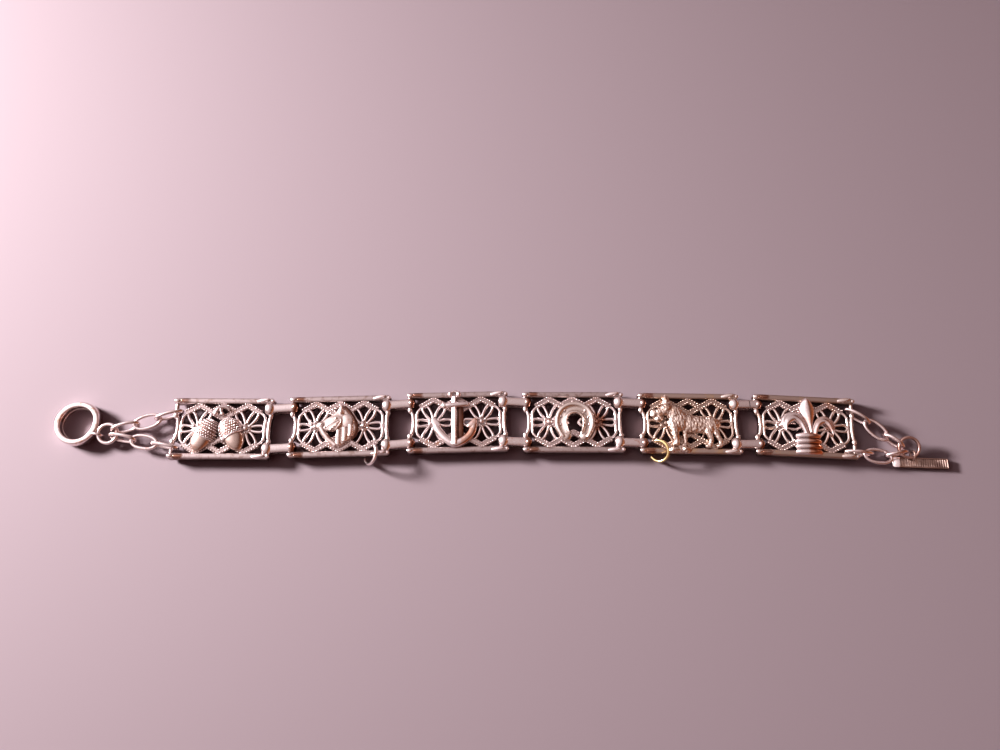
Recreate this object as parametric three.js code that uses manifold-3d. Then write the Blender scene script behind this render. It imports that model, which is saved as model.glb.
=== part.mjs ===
// A filigree link bracelet lying open: six pierced panels with raised figures, joined by pairs of
// flat-band loops, with two short chains at each end, a spring-ring clasp, a catch ring and a tag.
// Millimetres. +X runs along the bracelet, +Y across it, +Z up. The origin is under the middle.

import * as THREE from 'three';
import { mergeVertices } from 'three/addons/utils/BufferGeometryUtils.js';
import Module from 'manifold-3d';

const wasm = await Module();
wasm.setup();

// ---- driving dimensions ----------------------------------------------------------------------

// One panel: half length and half width over its rails.
const HALF_LENGTH = 10.6;
const HALF_WIDTH = 6.35;

// Heights above the surface: [bottom, top].
const RAIL_Z = [0.6, 2.3];
const END_BAR_Z = [0.85, 1.35];
const LATTICE_Z = [1.35, 1.9];
const PETAL_Z = [1.4, 1.85];
const BASE_OF_FIGURES = 1.6;

// The frame of a panel.
const RAIL_WIDTH = 0.75;
const HINGE_X = HALF_LENGTH - 0.5;
const HINGE_BAR_WIDTH = 0.7;
const WAIST_X = HALF_LENGTH - 0.875;
const WAIST_WIDTH = 0.45;
const WAIST_HALF = 1.45;
const HINGE_FROM_Y = 3.2;

// The pierced plate: two medallions between crossing straps.
const MEDALLION_X = 5.1;
const STRAP_WIDTH = 0.95;
const STRAP_SLOPE = Math.tan(THREE.MathUtils.degToRad(30));
const PEAK_Y = 5.4;
const STRAP_RUN = 3.0;
const PLATE_END_X = 9.0;
const PLATE_END_HALF = 2.6;
const STRAP_REACH = 4.35;
const THIN_WIDTH = 0.45;
const TAB_WIDTH = 0.7;
const HUB_RADIUS = 1.15;
const HUB_TOP = 2.25;

// The folded loops between panels.
const LOOP_LENGTH = 6.8;
const LOOP_HEIGHT = 2.2;
const LOOP_WIDTH = 2.0;
const LOOP_SHEET = 0.45;
const LOOP_Y = 4.3;

// Oval chain links.
const LINK_LENGTH = 6.1;
const LINK_WIDTH = 3.4;
const LINK_WIRE = 0.6;
const END_LINK_LENGTH = 5.0;
const END_LINK_WIDTH = 3.2;

// Where each panel lies: centre and turn, in degrees counter-clockwise.
const PANELS = [
  { name: 'acorns', x: -58.25, y: -0.93, turn: -0.3 },
  { name: 'horse_head', x: -33.6, y: -0.45, turn: 1.4 },
  { name: 'anchor', x: -8.9, y: 0.45, turn: 1.3 },
  { name: 'horseshoe', x: 15.35, y: 0.47, turn: -0.1 },
  { name: 'dog', x: 39.7, y: 0.15, turn: -0.8 },
  { name: 'fleur_de_lis', x: 63.9, y: -0.5, turn: -3.0 },
];

// Chain links: centre, then turn (in plan) and roll (0 flat, 90 on edge), in degrees.
const LINKS = [
  { name: 'left_chain_back_1', x: -78.5, y: -0.69, z: 1.67, turn: 17, roll: 70 },
  { name: 'left_chain_back_2', x: -74.05, y: 0.59, z: 1.54, turn: 17, roll: 6 },
  { name: 'left_chain_back_3', x: -69.64, y: 1.98, z: 1.7, turn: 17, roll: 86 },
  { name: 'left_chain_front_1', x: -78.72, y: -2.95, z: 1.68, turn: -10, roll: 72 },
  { name: 'left_chain_front_2', x: -74.18, y: -3.77, z: 1.55, turn: -9, roll: 4 },
  { name: 'left_chain_front_3', x: -69.65, y: -4.6, z: 1.7, turn: -11, roll: 87 },
  { name: 'right_chain_back_1', x: 75.1, y: 1.66, z: 1.71, turn: -34, roll: 85 },
  { name: 'right_chain_back_2', x: 78.7, y: -1.17, z: 1.55, turn: -44, roll: 4 },
  { name: 'right_chain_back_3', x: 81.84, y: -3.67, z: 1.75, turn: -38, roll: 86, end: true },
  { name: 'right_chain_front_1', x: 74.24, y: -6.16, z: 1.71, turn: -6, roll: 88 },
  { name: 'right_chain_front_2', x: 78.3, y: -6.75, z: 1.4, turn: -10, roll: 4 },
  { name: 'right_chain_front_3', x: 82.03, y: -6.34, z: 1.72, turn: 10, roll: 86, end: true },
];

// Rings: centre, radius to the wire's middle, wire, lean about X, then about Y, gap in the ring.
const CLASP = { x: -88.65, y: 0.2, radius: 3.7, tube: 1.0, eyeTurn: -28, eyeOut: 5.2, eyeTwist: 18 };
const EYE = { radius: 1.1, wire: 0.6 };
const JUMP_RING = { x: -82.02, y: -2, z: 1.58, radius: 2.0, wire: 0.8, leanX: 8, leanY: 0 };
const CATCH_RING = { x: 84.76, y: -5.01, z: 1.88, radius: 2.1, wire: 0.7, leanX: 14, leanY: 0 };
const BRASS_RING = {
  x: 32.85, y: -5.75, z: 2.2, radius: 2.15, wire: 0.6, leanX: 20, leanY: -38, gapAt: 164, gap: 110,
};
const OPEN_RING = {
  x: -26.8, y: -6.4, z: 2.25, radius: 2.1, wire: 0.6, leanX: 0, leanY: -48, gapAt: 142, gap: 125,
};

// The tag: a flat bar with an eye on its back edge.
const TAG = { x: 87.26, y: -8.34, turn: -2, length: 11.5, width: 2.2, z: [0.1, 0.9] };
const TAG_EYE = { along: -1.8, out: 0.32, radius: 0.85, wire: 0.5, z: 1.4 };

const SILVER = { color: 0xb9aaa8, roughness: 0.32, metalness: 1 };
const WARM_SILVER = { color: 0xb59a80, roughness: 0.36, metalness: 1 };
const BRASS = { color: 0xc9a24c, roughness: 0.35, metalness: 1 };

// ---- solids ----------------------------------------------------------------------------------

const degrees = THREE.MathUtils.degToRad;

// A closed geometry as a solid that can be joined and cut.
function solid(geometry) {
  const bare = geometry.index ? geometry.toNonIndexed() : geometry.clone();
  bare.deleteAttribute('normal');
  bare.deleteAttribute('uv');
  const merged = mergeVertices(bare, 1e-4);
  const corners = merged.index.array;
  const kept = [];
  for (let i = 0; i < corners.length; i += 3) {
    const [a, b, c] = [corners[i], corners[i + 1], corners[i + 2]];
    if (a !== b && b !== c && c !== a) kept.push(a, b, c);
  }
  return new wasm.Manifold(new wasm.Mesh({
    numProp: 3,
    vertProperties: merged.attributes.position.array,
    triVerts: Uint32Array.from(kept),
  }));
}

function join(solids) {
  return solids.reduce((whole, next) => whole.add(next));
}

function toGeometry(body) {
  const mesh = body.getMesh();
  const geometry = new THREE.BufferGeometry();
  geometry.setAttribute('position', new THREE.BufferAttribute(mesh.vertProperties, 3));
  geometry.setIndex(new THREE.BufferAttribute(mesh.triVerts, 1));
  geometry.computeVertexNormals();
  return geometry;
}

function outline(points) {
  return new THREE.Shape(points.map(([x, y]) => new THREE.Vector2(x, y)));
}

function slab(shape, [bottom, top], curveSegments = 4) {
  const options = { depth: top - bottom, bevelEnabled: false, curveSegments };
  return solid(new THREE.ExtrudeGeometry(shape, options).translate(0, 0, bottom));
}

// A slab whose top edge is chamfered, for cast figures.
function relief(shape, [bottom, top], chamfer, curveSegments = 4) {
  const options = {
    depth: top - bottom - 2 * chamfer,
    bevelThickness: chamfer,
    bevelSize: chamfer,
    bevelOffset: -chamfer,
    bevelSegments: 1,
    curveSegments,
  };
  return solid(new THREE.ExtrudeGeometry(shape, options).translate(0, 0, bottom + chamfer));
}

// A straight bar between two points of the plan, with square ends.
function bar([x1, y1], [x2, y2], width, range) {
  const along = new THREE.Vector2(x2 - x1, y2 - y1).normalize();
  const side = new THREE.Vector2(-along.y, along.x).multiplyScalar(width / 2);
  return slab(outline([
    [x1 + side.x, y1 + side.y],
    [x1 - side.x, y1 - side.y],
    [x2 - side.x, y2 - side.y],
    [x2 + side.x, y2 + side.y],
  ]), range);
}

function disc(x, y, radius, [bottom, top], sides) {
  const geometry = new THREE.CylinderGeometry(radius, radius, top - bottom, sides);
  return solid(geometry.rotateX(Math.PI / 2).translate(x, y, (bottom + top) / 2));
}

function ball([x, y, z], [rx, ry, rz], turn = 0, sides = 8, rings = 6) {
  const geometry = new THREE.SphereGeometry(1, sides, rings);
  geometry.rotateX(Math.PI / 2).scale(rx, ry, rz).rotateZ(degrees(turn)).translate(x, y, z);
  return solid(geometry);
}

function rod(points, radius, sides = 6, steps = 6) {
  const path = new THREE.CatmullRomCurve3(points.map((p) => new THREE.Vector3(...p)));
  const section = outline(Array.from({ length: sides }, (_, i) => {
    const angle = (i / sides) * 2 * Math.PI;
    return [radius * Math.cos(angle), radius * Math.sin(angle)];
  }));
  return solid(new THREE.ExtrudeGeometry(section, { steps, extrudePath: path, curveSegments: 1 }));
}

// ---- the panels ------------------------------------------------------------------------------

const railY = HALF_WIDTH - RAIL_WIDTH / 2;

function railOutline(y) {
  const end = HALF_LENGTH - RAIL_WIDTH / 2;
  const shape = new THREE.Shape();
  shape.moveTo(-end, y - RAIL_WIDTH / 2);
  shape.lineTo(end, y - RAIL_WIDTH / 2);
  shape.absarc(end, y, RAIL_WIDTH / 2, -Math.PI / 2, Math.PI / 2, false);
  shape.lineTo(-end, y + RAIL_WIDTH / 2);
  shape.absarc(-end, y, RAIL_WIDTH / 2, Math.PI / 2, Math.PI * 1.5, false);
  return shape;
}

// The line of an end bar, from its middle to the rail: [x, y, width].
const END_BAR = [
  [WAIST_X, 0, WAIST_WIDTH],
  [WAIST_X, WAIST_HALF, WAIST_WIDTH],
  [HINGE_X, HINGE_FROM_Y, HINGE_BAR_WIDTH],
  [HINGE_X, railY, HINGE_BAR_WIDTH],
];

// The end bar steps out towards the rails, where the loops go round it.
function endBar(side) {
  const half = END_BAR.slice(1);
  const line = [...half.map(([x, y, w]) => [x, -y, w]).reverse(), ...half];
  const outer = line.map(([x, y, w]) => [side * (x + w / 2), y]);
  const inner = line.map(([x, y, w]) => [side * (x - w / 2), y]).reverse();
  const points = [...outer, ...inner];
  return slab(outline(side > 0 ? points : points.reverse()), END_BAR_Z);
}

function panelFrame() {
  const pieces = [];
  for (const side of [-1, 1]) {
    pieces.push(slab(railOutline(side * railY), RAIL_Z, 2), endBar(side));
  }
  return join(pieces);
}

// A closed outline in all four quarters from its points in the first, from the X axis to the Y axis.
function fourQuarters(quarter) {
  const back = [...quarter].reverse();
  return [
    ...quarter,
    ...back.map(([x, y]) => [-x, y]),
    ...quarter.map(([x, y]) => [-x, -y]),
    ...back.map(([x, y]) => [x, -y]),
  ];
}

// The pierced plate without its petals: straps that peak at the tabs, cross between the two
// medallions and leave a small diamond open at the middle of each side.
function plateShape() {
  const rise = STRAP_WIDTH / 2 / Math.cos(Math.atan(STRAP_SLOPE));
  const strapY = (x, offset) => PEAK_Y + offset * rise - Math.abs(x - MEDALLION_X) * STRAP_SLOPE;
  const middleY = (x, offset) => PEAK_Y + offset * rise - Math.abs(x) * STRAP_SLOPE;
  const half = TAB_WIDTH / 2;
  const meet = MEDALLION_X / 2;
  const shoulderX = MEDALLION_X + STRAP_RUN;
  const endOut = PLATE_END_X + THIN_WIDTH / 2;
  const endIn = PLATE_END_X - THIN_WIDTH / 2;
  const shape = outline(fourQuarters([
    [endOut, PLATE_END_HALF],
    [PLATE_END_X - 0.55, PLATE_END_HALF + 0.6],
    [shoulderX + 0.1, strapY(shoulderX + 0.1, 1)],
    [MEDALLION_X + half, strapY(MEDALLION_X + half, 1)],
    [MEDALLION_X + half, railY],
    [MEDALLION_X - half, railY],
    [MEDALLION_X - half, strapY(MEDALLION_X - half, 1)],
    [meet, strapY(meet, 1)],
    [half, middleY(half, 1)],
    [half, railY],
  ]));
  for (const side of [-1, 1]) {
    const quarter = [
      [endIn - MEDALLION_X, PLATE_END_HALF - 0.2],
      [STRAP_RUN - 0.1, strapY(shoulderX - 0.1, -1)],
      [0.001, PEAK_Y - rise],
    ];
    const opening = fourQuarters(quarter).map(([x, y]) => [x + side * MEDALLION_X, y]);
    shape.holes.push(new THREE.Path(opening.map((p) => new THREE.Vector2(...p)).reverse()));
    const crossing = strapY(0, 1);
    const diamond = [
      [0, side * crossing],
      [(PEAK_Y - rise - crossing) / 2 / STRAP_SLOPE, side * (PEAK_Y - rise + crossing) / 2],
      [0, side * (PEAK_Y - rise)],
      [-(PEAK_Y - rise - crossing) / 2 / STRAP_SLOPE, side * (PEAK_Y - rise + crossing) / 2],
    ];
    shape.holes.push(new THREE.Path(diamond.map((p) => new THREE.Vector2(...p))));
  }
  return shape;
}

// A petal runs from the hub to the straps or the end bar and widens on the way.
function petal(centre, reach, angle) {
  const half = [[0.7, 0.28], [reach, 0.5]];
  const points = [...half.map(([r, w]) => [r, -w]), ...half.map(([r, w]) => [r, w]).reverse()];
  return slab(outline(points.map(([r, w]) => [
    centre + r * Math.cos(angle) - w * Math.sin(angle),
    r * Math.sin(angle) + w * Math.cos(angle),
  ])), PETAL_Z);
}

function lattice() {
  const pieces = [slab(plateShape(), LATTICE_Z)];
  for (const centre of [-MEDALLION_X, MEDALLION_X]) {
    pieces.push(disc(centre, 0, HUB_RADIUS, [PETAL_Z[0] + 0.02, HUB_TOP], 6));
    for (let turn = 0; turn < 360; turn += 60) {
      const reach = turn % 180 ? STRAP_REACH : PLATE_END_X - MEDALLION_X;
      pieces.push(petal(centre, reach, degrees(turn)));
    }
  }
  return join(pieces);
}

// ---- the raised figures ----------------------------------------------------------------------

// An acorn along -Y from its stalk, then turned in the plane and set on the plate.
function acorn([x, y], turn) {
  const profile = [
    [0, 4.45], [1.5, 4.0], [2.35, 2.2], [2.25, 0.5], [1.95, 0.3], [1.8, -1.6], [1.1, -3.6], [0, -4.5],
  ].map(([r, h]) => new THREE.Vector2(r, h)).reverse();
  const geometry = new THREE.LatheGeometry(profile, 8);
  geometry.scale(1, 1, 0.8).rotateZ(degrees(turn)).translate(x, y, BASE_OF_FIGURES + 0.3);
  return solid(geometry);
}

function acorns() {
  const below = solid(new THREE.BoxGeometry(24, 16, 4).translate(0, 0, BASE_OF_FIGURES - 2));
  const pair = acorn([-3.2, -1.05], -28).add(acorn([2.1, -0.95], 29)).subtract(below);
  const twig = [rod([[-1.1, 2.7, 2.4], [-0.7, 4.2, 2.7], [0.4, 5.0, 2.5]], 0.45, 6, 3)];
  twig.push(rod([[0.2, 2.7, 2.4], [0.9, 4.0, 2.8], [2.0, 4.6, 2.5]], 0.45, 6, 3));
  return join([pair, ...twig]);
}

function horseHead() {
  const head = outline([
    [0.6, 4.6], [1.3, 3.3], [2.6, 2.4], [3.5, 0.0], [4.0, -2.2], [1.4, -4.8], [-0.4, -5.3],
    [-1.2, -4.2], [-3.7, -1.3], [-4.4, -0.2], [-3.3, 0.9], [-1.5, 2.1], [-0.2, 3.0],
  ]);
  const gap = slab(outline([[-2.7, -1.4], [-1.0, -1.5], [-0.7, -3.2]]), [0, 5]);
  const cheek = ball([0.5, 0.6, 2.9], [1.7, 1.5, 0.9], 20);
  const nose = ball([-2.6, -0.2, 2.6], [1.6, 0.9, 0.8], 25);
  const mane = rod([[2.0, 2.6, 2.9], [2.9, 0.2, 3.1], [2.4, -3.0, 2.9]], 0.75, 6, 5);
  return join([relief(head, [BASE_OF_FIGURES, 3.0], 0.35), cheek, nose, mane]).subtract(gap);
}

function anchor() {
  const x = -0.45;
  const z = 2.6;
  const pieces = [rod([[x, 5.0, z], [x, 0, z], [x, -5.3, z]], 0.55, 6, 1)];
  pieces.push(rod([[x - 2.3, 3.75, z], [x, 3.85, z], [x + 2.4, 3.95, z]], 0.5, 6, 1));
  for (const tip of [[x - 2.3, 3.75, z], [x + 2.4, 3.95, z]]) {
    pieces.push(ball(tip, [0.7, 0.7, 0.7], 0, 6, 4));
  }
  pieces.push(rod([
    [x - 4.5, -0.6, z], [x - 3.3, -3.2, z], [x, -4.9, z], [x + 3.2, -3.0, z], [x + 4.4, -0.3, z],
  ], 0.6, 5, 6));
  for (const side of [-1, 1]) {
    const fluke = [[x + side * 5.1, 0.6], [x + side * 3.2, -0.9], [x + side * 5.0, -1.6]];
    pieces.push(slab(outline(side > 0 ? fluke : fluke.reverse()), [z - 0.5, z + 0.5]));
  }
  pieces.push(solid(new THREE.TorusGeometry(0.95, 0.35, 5, 8).translate(x, 5.7, z + 0.15)));
  pieces.push(bar([x, -5.0], [x, 4.6], 1.0, [BASE_OF_FIGURES, z]));
  return join(pieces);
}

function horseshoe() {
  const shape = new THREE.Shape();
  const [x, y] = [0.4, 0.35];
  shape.moveTo(x - 3.3, y - 4.6);
  shape.bezierCurveTo(x - 4.7, y - 1.4, x - 4.6, y + 4.3, x, y + 4.4);
  shape.bezierCurveTo(x + 4.6, y + 4.3, x + 4.7, y - 1.4, x + 3.3, y - 4.6);
  shape.lineTo(x + 1.1, y - 4.3);
  shape.bezierCurveTo(x + 2.3, y - 1.0, x + 2.1, y + 1.6, x, y + 1.6);
  shape.bezierCurveTo(x - 2.1, y + 1.6, x - 2.3, y - 1.0, x - 1.1, y - 4.3);
  return relief(shape, [BASE_OF_FIGURES, 3.3], 0.4, 3);
}

// A terrier standing in profile on a small rock: a cast outline with head, chest and haunch raised.
function dog() {
  const body = outline([
    [-8.2, 1.8], [-7.9, 1.1], [-6.2, 0.7], [-5.0, -0.6], [-4.5, -2.2], [-4.2, -5.0], [-4.6, -6.0],
    [-0.2, -6.1], [-0.6, -5.0], [-0.9, -2.6], [2.6, -2.3], [3.4, -3.6], [3.2, -5.4],
    [6.7, -5.5], [6.6, -3.2], [6.2, 0.2], [6.7, 1.9], [5.9, 2.0], [5.3, 1.2],
    [-1.8, 1.3], [-2.9, 3.2], [-4.2, 4.2], [-4.5, 5.7], [-5.3, 4.2], [-7.0, 2.9],
  ]);
  const betweenForelegs = slab(outline([[-2.6, -3.4], [-2.4, -4.9], [-1.9, -4.9]]), [0, 6]);
  const betweenHindLegs = slab(outline([[5.0, -3.0], [4.7, -5.0], [5.5, -5.0]]), [0, 6]);
  return join([
    relief(body, [BASE_OF_FIGURES, 3.2], 0.4),
    ball([-5.1, 2.8, 2.9], [1.9, 1.4, 0.95], 10, 6, 6),
    ball([-2.8, -0.6, 2.8], [1.9, 2.3, 0.9], 15, 6, 6),
    ball([4.6, -0.8, 2.8], [1.6, 1.8, 0.8], 0, 6, 6),
  ]).subtract(betweenForelegs).subtract(betweenHindLegs);
}

// A curling side petal of the lily, from the collar up and over to its tip.
function lilyPetal(side, [rootX, rootY], reach, drop) {
  const shape = new THREE.Shape();
  const at = (x) => rootX + side * x;
  shape.moveTo(at(-0.4), rootY);
  shape.bezierCurveTo(at(-0.2), rootY + 4.4, at(reach), rootY + 4.8, at(reach), rootY + 0.9);
  shape.lineTo(at(reach - 0.7), rootY + drop);
  shape.lineTo(at(reach - 1.6), rootY + 0.9);
  shape.bezierCurveTo(at(reach - 1.8), rootY + 2.8, at(1.2), rootY + 2.6, at(0.9), rootY);
  return relief(shape, [BASE_OF_FIGURES, 3.2], 0.35, 2);
}

function fleurDeLis() {
  const collar = [[-1.9, 2.4], [-3.1, 2.75], [-4.3, 2.9], [-5.5, 2.75]];
  return join([
    ball([0.3, 2.9, 2.6], [1.6, 3.3, 1.1], 0, 6, 6),
    bar([0.6, 1.6], [0.6, -2.0], 0.9, [BASE_OF_FIGURES, 3.2]),
    lilyPetal(-1, [0.0, -1.7], 5.6, 0.1),
    lilyPetal(1, [1.1, -1.7], 5.0, -0.3),
    bar([0.5, -1.6], [0.5, -5.6], 4.2, [BASE_OF_FIGURES, 2.4]),
    ...collar.map(([y, halfWidth]) => relief(outline([
      [0.5 - halfWidth, y - 0.55], [0.5 + halfWidth, y - 0.55],
      [0.5 + halfWidth, y + 0.55], [0.5 - halfWidth, y + 0.55],
    ]), [BASE_OF_FIGURES + 0.1, 3.3], 0.3)),
  ]);
}

const figures = {
  acorns,
  horse_head: horseHead,
  anchor,
  horseshoe,
  dog,
  fleur_de_lis: fleurDeLis,
};

// ---- loops, links and rings ------------------------------------------------------------------

function stadium(length, height, reverse = false) {
  const straight = (length - height) / 2;
  const path = reverse ? new THREE.Path() : new THREE.Shape();
  path.absarc(straight, 0, height / 2, -Math.PI / 2, Math.PI / 2, false);
  path.absarc(-straight, 0, height / 2, Math.PI / 2, Math.PI * 1.5, false);
  path.closePath();
  return path;
}

// A flat band folded into a long loop: its side view is a stadium, its width lies along Y.
function bandLoop() {
  const shape = stadium(LOOP_LENGTH, LOOP_HEIGHT);
  shape.holes.push(stadium(LOOP_LENGTH - 2 * LOOP_SHEET, LOOP_HEIGHT - 2 * LOOP_SHEET, true));
  const options = { depth: LOOP_WIDTH, bevelEnabled: false, curveSegments: 2 };
  const geometry = new THREE.ExtrudeGeometry(shape, options);
  return geometry.translate(0, 0, -LOOP_WIDTH / 2).rotateX(Math.PI / 2);
}

// An oval link: a ten-sided ring of wire pulled out along X. Its long sides run between the
// corners at 72 and 108 degrees.
function ovalLink(length, width, wire) {
  const radius = (width - wire) / 2 / Math.sin(degrees(72));
  const pull = (length - wire) / 2 - radius;
  const geometry = new THREE.TorusGeometry(radius, wire / 2, 6, 10);
  const points = geometry.attributes.position;
  for (let i = 0; i < points.count; i += 1) {
    points.setX(i, points.getX(i) + Math.sign(points.getX(i)) * pull);
  }
  return geometry;
}

function wireRing({ radius, wire }) {
  return new THREE.TorusGeometry(radius, wire / 2, 6, 14);
}

// A ring with a gap: gapAt is the middle of the gap, in degrees round the ring.
function openRing({ radius, wire, gapAt, gap }) {
  const steps = 12;
  const angles = Array.from({ length: steps + 1 }, (_, i) => (
    degrees(gapAt + gap / 2 + (i / steps) * (360 - gap))
  ));
  const points = angles.map((a) => [radius * Math.cos(a), radius * Math.sin(a), 0]);
  return toGeometry(rod(points, wire / 2, 6, steps));
}

function claspRing() {
  const body = new THREE.TorusGeometry(CLASP.radius, CLASP.tube, 8, 20).translate(0, 0, CLASP.tube);
  const eye = wireRing(EYE);
  eye.rotateX(Math.PI / 2).rotateZ(degrees(CLASP.eyeTwist));
  eye.translate(CLASP.eyeOut, 0, EYE.radius + EYE.wire / 2);
  eye.rotateZ(degrees(CLASP.eyeTurn));
  return toGeometry(solid(body).add(solid(eye)));
}

function hangTag() {
  const half = TAG.length / 2;
  const bend = 0.5;
  const edge = TAG.width / 2;
  const plate = relief(outline([
    [-half, -edge + bend], [-half + bend, -edge], [half, -edge], [half, edge], [-half + bend, edge],
    [-half, edge - bend],
  ]), TAG.z, 0.12);
  const eye = wireRing(TAG_EYE).rotateY(Math.PI / 2).translate(TAG_EYE.along, edge + TAG_EYE.out, TAG_EYE.z);
  return toGeometry(plate.add(solid(eye)));
}

// ---- the bracelet ----------------------------------------------------------------------------

const bracelet = new THREE.Group();

function add(name, geometry, look) {
  const mesh = new THREE.Mesh(geometry, new THREE.MeshStandardMaterial(look));
  mesh.name = name;
  bracelet.add(mesh);
  return mesh;
}

const frame = panelFrame();
const plate = lattice();
const panelMeshes = PANELS.map(({ name, x, y, turn }) => {
  const body = join([frame, plate, figures[name]()]);
  const mesh = add(`panel_${name}`, toGeometry(body), name === 'dog' ? WARM_SILVER : SILVER);
  mesh.position.set(x, y, 0);
  mesh.rotation.z = degrees(turn);
  mesh.updateMatrix();
  return mesh;
});

// Two loops at each joint, each lying between the hinge bars of its two panels.
for (let joint = 1; joint < panelMeshes.length; joint += 1) {
  const [left, right] = [panelMeshes[joint - 1], panelMeshes[joint]];
  for (const [sideName, y] of [['back', LOOP_Y], ['front', -LOOP_Y]]) {
    const from = new THREE.Vector3(HINGE_X, y, 0).applyMatrix4(left.matrix);
    const to = new THREE.Vector3(-HINGE_X, y, 0).applyMatrix4(right.matrix);
    const loop = add(`joint_loop_${joint}_${sideName}`, bandLoop(), SILVER);
    loop.position.addVectors(from, to).multiplyScalar(0.5).setZ(LOOP_HEIGHT / 2);
    loop.rotation.z = Math.atan2(to.y - from.y, to.x - from.x);
  }
}

for (const { name, x, y, z, turn, roll, end } of LINKS) {
  const size = end ? [END_LINK_LENGTH, END_LINK_WIDTH] : [LINK_LENGTH, LINK_WIDTH];
  const link = add(name, ovalLink(...size, LINK_WIRE), SILVER);
  link.position.set(x, y, z);
  link.rotation.set(degrees(roll), 0, degrees(turn), 'ZYX');
}

function placeRing(name, ring, geometry, look) {
  const mesh = add(name, geometry, look);
  mesh.position.set(ring.x, ring.y, ring.z);
  mesh.rotation.set(degrees(ring.leanX), degrees(ring.leanY), 0, 'XYZ');
}

const clasp = add('clasp_ring', claspRing(), SILVER);
clasp.position.set(CLASP.x, CLASP.y, 0);
placeRing('clasp_jump_ring', JUMP_RING, wireRing(JUMP_RING), SILVER);
placeRing('catch_ring', CATCH_RING, wireRing(CATCH_RING), SILVER);
placeRing('brass_jump_ring', BRASS_RING, openRing(BRASS_RING), BRASS);
placeRing('open_jump_ring', OPEN_RING, openRing(OPEN_RING), SILVER);

const tag = add('hang_tag', hangTag(), SILVER);
tag.position.set(TAG.x, TAG.y, 0);
tag.rotation.z = degrees(TAG.turn);

// The origin goes under the middle of the whole.
const box = new THREE.Box3().setFromObject(bracelet, true);
const middle = box.getCenter(new THREE.Vector3());
bracelet.position.set(-middle.x, -middle.y, -box.min.z);

export default bracelet;
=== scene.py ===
# %% [markdown]
# # A filigree link bracelet, lying open
# Six pierced panels with raised figures are joined by pairs of folded bands. Short chains end in
# a spring-ring clasp on the left and a catch ring with a tag on the right. The CAD parts say
# where everything lies, and this script builds the jeweller's detail over them.

# %% Load the CAD parts
import math

import bmesh
import bpy
import numpy as np
from mathutils import Matrix, Vector, noise


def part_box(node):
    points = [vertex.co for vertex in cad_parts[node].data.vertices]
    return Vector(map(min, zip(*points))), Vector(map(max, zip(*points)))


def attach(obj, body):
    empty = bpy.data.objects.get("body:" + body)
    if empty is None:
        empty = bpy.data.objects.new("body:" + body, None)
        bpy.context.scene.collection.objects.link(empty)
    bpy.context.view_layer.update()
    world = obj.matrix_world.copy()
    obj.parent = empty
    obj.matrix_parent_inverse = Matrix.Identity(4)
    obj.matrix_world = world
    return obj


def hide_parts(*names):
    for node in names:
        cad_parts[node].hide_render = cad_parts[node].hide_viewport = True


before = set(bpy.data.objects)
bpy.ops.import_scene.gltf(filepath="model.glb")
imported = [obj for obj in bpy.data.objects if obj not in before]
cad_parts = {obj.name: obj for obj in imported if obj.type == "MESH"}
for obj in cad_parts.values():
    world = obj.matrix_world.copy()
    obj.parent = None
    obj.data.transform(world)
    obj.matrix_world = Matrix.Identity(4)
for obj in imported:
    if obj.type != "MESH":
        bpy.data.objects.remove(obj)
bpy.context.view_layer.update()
MM = 0.001

# %% [markdown]
# ## The camera
# The bracelet is seen from above and a little in front, by a short lens close by. Its perspective
# is strong, so the camera's place matters as much as its direction.

# %% Camera
CAMERA_TILT = math.radians(19.0)
CAMERA_DISTANCE = 161.3 * MM
LOOK_AT = Vector((0.15, 12.1, 1.5)) * MM

SENSOR_WIDTH = 36.0
SHORT_LENS = 27.04


def put_in_scene(name, data):
    """A new object, at the origin."""
    thing = bpy.data.objects.new(name, data)
    bpy.context.scene.collection.objects.link(thing)
    return thing


camera_data = bpy.data.cameras.new("camera")
camera_data.sensor_width = SENSOR_WIDTH
camera_data.lens = SHORT_LENS
camera_data.clip_start = 5 * MM
camera = put_in_scene("camera", camera_data)
away = Vector((0.0, -math.sin(CAMERA_TILT), math.cos(CAMERA_TILT)))
camera.location = LOOK_AT + away * CAMERA_DISTANCE
camera.rotation_euler = (CAMERA_TILT, 0.0, 0.0)
bpy.context.scene.camera = camera
print("Camera at (mm)", [round(c / MM, 1) for c in camera.location])

# %% [markdown]
# ## Shader maths in plain Python
# A material is a graph of nodes. This class wraps a socket, so that `1 - mask * 0.5` adds the
# Math nodes it needs, and every other node comes from one method.


# %% Shader helper
class Signal:
    """A node socket that can be used in arithmetic."""

    def __init__(self, tree, socket):
        self.tree = tree
        self.socket = socket

    def maths(self, operation, *values):
        return add_node(self.tree, "Math", {"operation": operation}, *values)

    def __add__(self, other):
        return self.maths("ADD", self, other)

    __radd__ = __add__

    def __sub__(self, other):
        return self.maths("SUBTRACT", self, other)

    def __rsub__(self, other):
        return self.maths("SUBTRACT", other, self)

    def __mul__(self, other):
        return self.maths("MULTIPLY", self, other)

    __rmul__ = __mul__

    def clipped(self):
        return add_node(self.tree, "Clamp", {}, self)

    def step(self, low, high):
        """0 below low, 1 above high, and a straight rise between them."""
        return ((self - low) * (1.0 / (high - low))).clipped()


# %% Nodes and their trees
def empty_tree(owner):
    """The node tree of a material or world, with nothing in it."""
    owner.use_nodes = True
    owner.node_tree.nodes.clear()
    return owner.node_tree


def feed(tree, socket, value):
    """Links a signal to a socket, or gives the socket a fixed value."""
    if isinstance(value, Signal):
        tree.links.new(value.socket, socket)
    else:
        socket.default_value = value


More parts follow.
